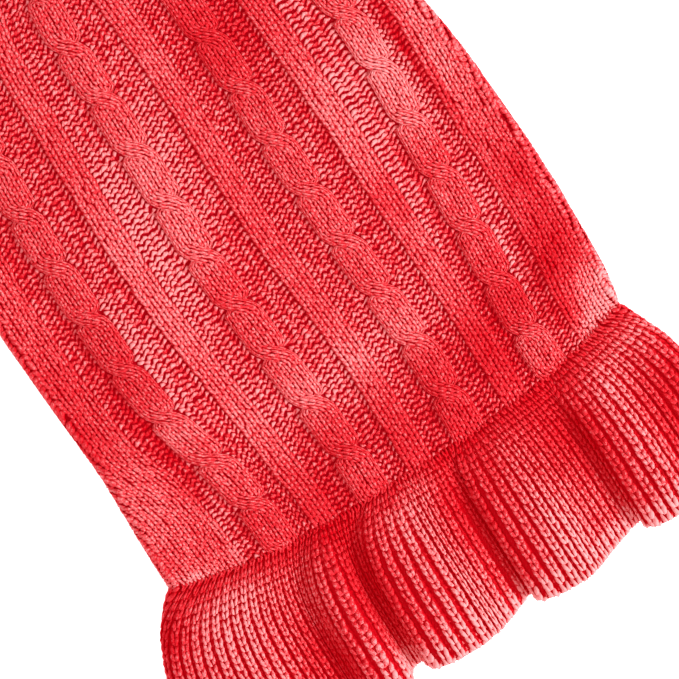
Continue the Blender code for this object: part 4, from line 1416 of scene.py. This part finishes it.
def hem_place(across, along, height):
    s = (loop + 0.5 + across * LOOP_WIDTH) / LOOPS_PER_RIB
    lift = height + LOOP_LIFT - LOOP_DIP * between_ribs(s)
    return ruffle_point(s, LOOP_AT - along * HEM_LOOP / RUFFLE_LENGTH, lift)


loop = np.arange(RUFFLE_RIBS * LOOPS_PER_RIB)[:, None]
ups = np.where(loop % 2 == 0, 1.0, -1.0)
hem_loops = knit("hem_loops", BOW, np.ones(loop.shape), hem_place, 61, ups, LOOP_PAINTED_LIGHT)

# %% [markdown]
# ## Collar and sleeves
#
# Both are the same single rib in smaller stitches, over the top and just round each fold.


# %% Ribbed tubes
TUBE_RISE, TUBE_LIFT = 0.8, 0.2


def make_tube_ribs(name, ends, ribs, length, seed):
    """The chains of stitches on a flat tube, from one fold over the top to the other."""
    face = tube_inside(ends)
    rows = round(length / COURSE)
    rib, up, leg = rows_of(ribs + 2, rows, 1 / rows)
    rib = rib - 1  # one more rib than fits lies round each fold

    def place(across, along, height):
        v = up + along / rows
        left, right, fold = ends(v)
        flat = np.linalg.norm(right - left, axis=-1) / 2 - fold - KNIT_WALL
        aside, lift = on_chain(across, height, CHAIN_HALF, TUBE_RISE)
        centre = (2 * rib + 1) / ribs - 1
        turned = np.sign(centre) * (1 + TURN_SHARE / 2) + aside * TURN_SHARE / (math.pi * fold)
        w = np.where(np.abs(centre) > 1, turned, centre + aside / flat)
        return above(face, w, v, lift + TUBE_LIFT, *TUBE_STEPS)

    return knit(name, LEG, leg, place, seed)


collar_ribs = make_tube_ribs("collar_ribs", collar_ends, COLLAR_RIBS, COLLAR_LENGTH, 70)
sleeve_ribs = [
    make_tube_ribs(f"{word}_sleeve_ribs", sleeve_ends(side), SLEEVE_RIBS, SLEEVE_LENGTH, seed)
    for word, side, seed in (("left", -1, 71), ("right", 1, 72))
]

# %% [markdown]
# ## The sheets in place of the solids
#
# Each shell stands for its solid and rides on the one body, and so does its knitting. A sheet also says how
# large it was when it came off the machine.


# %% Sheets, their cuts and what they rest on
def dress(sheet, node, flat, knitted=()):
    """The sheet stands for a node of the frame, with its knitting on it."""
    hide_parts(node)
    for piece in (sheet, *knitted):
        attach(piece, "root")
    print(sheet.name, "was cut", round(flat[0]), "x", round(flat[1]), "mm")


BELLY_HEM, COLLAR_GIRTH, SLEEVE_GIRTH = 191.0, 224.0, 84.0
back_widths, belly_widths = 2 * cloth_end(FINE), 2 * belly_half(FINE)
back_size, belly_size = ((widths.max(), BODY_LENGTH) for widths in (back_widths, belly_widths))
ruffle_pieces = [ruffle_ribs, ruffle_grooves, hem_loops]
sleeve_size = (SLEEVE_GIRTH, SLEEVE_LENGTH)

dress(back_sheet, "back_panel", back_size, back_pieces)
dress(belly_sheet, "belly_panel", belly_size)
dress(
    ruffle_sheet, "back_ruffle", ruffle_size, ruffle_pieces
)
dress(belly_ruffle_sheet, "belly_ruffle", (BELLY_HEM, RUFFLE_LENGTH))
dress(collar_sheet, "collar", (COLLAR_GIRTH, COLLAR_LENGTH), [collar_ribs])
for sheet, knitted, word in zip(sleeve_sheets, sleeve_ribs, ("left", "right")):
    dress(sheet, f"{word}_sleeve", sleeve_size, [knitted])

# %% [markdown]
# ## Measuring and closing
#
# The dressed model stands a little proud of the solids' box, so the difference between the two boxes is
# printed.

# %% Sizes
dressed_box = [list(corner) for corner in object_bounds()]
growth = np.array(dressed_box) - np.array(SOLIDS_BOX)
triangles = sum(len(face.vertices) - 2 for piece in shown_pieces() for face in piece.data.polygons)
print("the dressed box differs by", (growth / MM).round(2).tolist(), "mm")
print(triangles, "triangles in all")
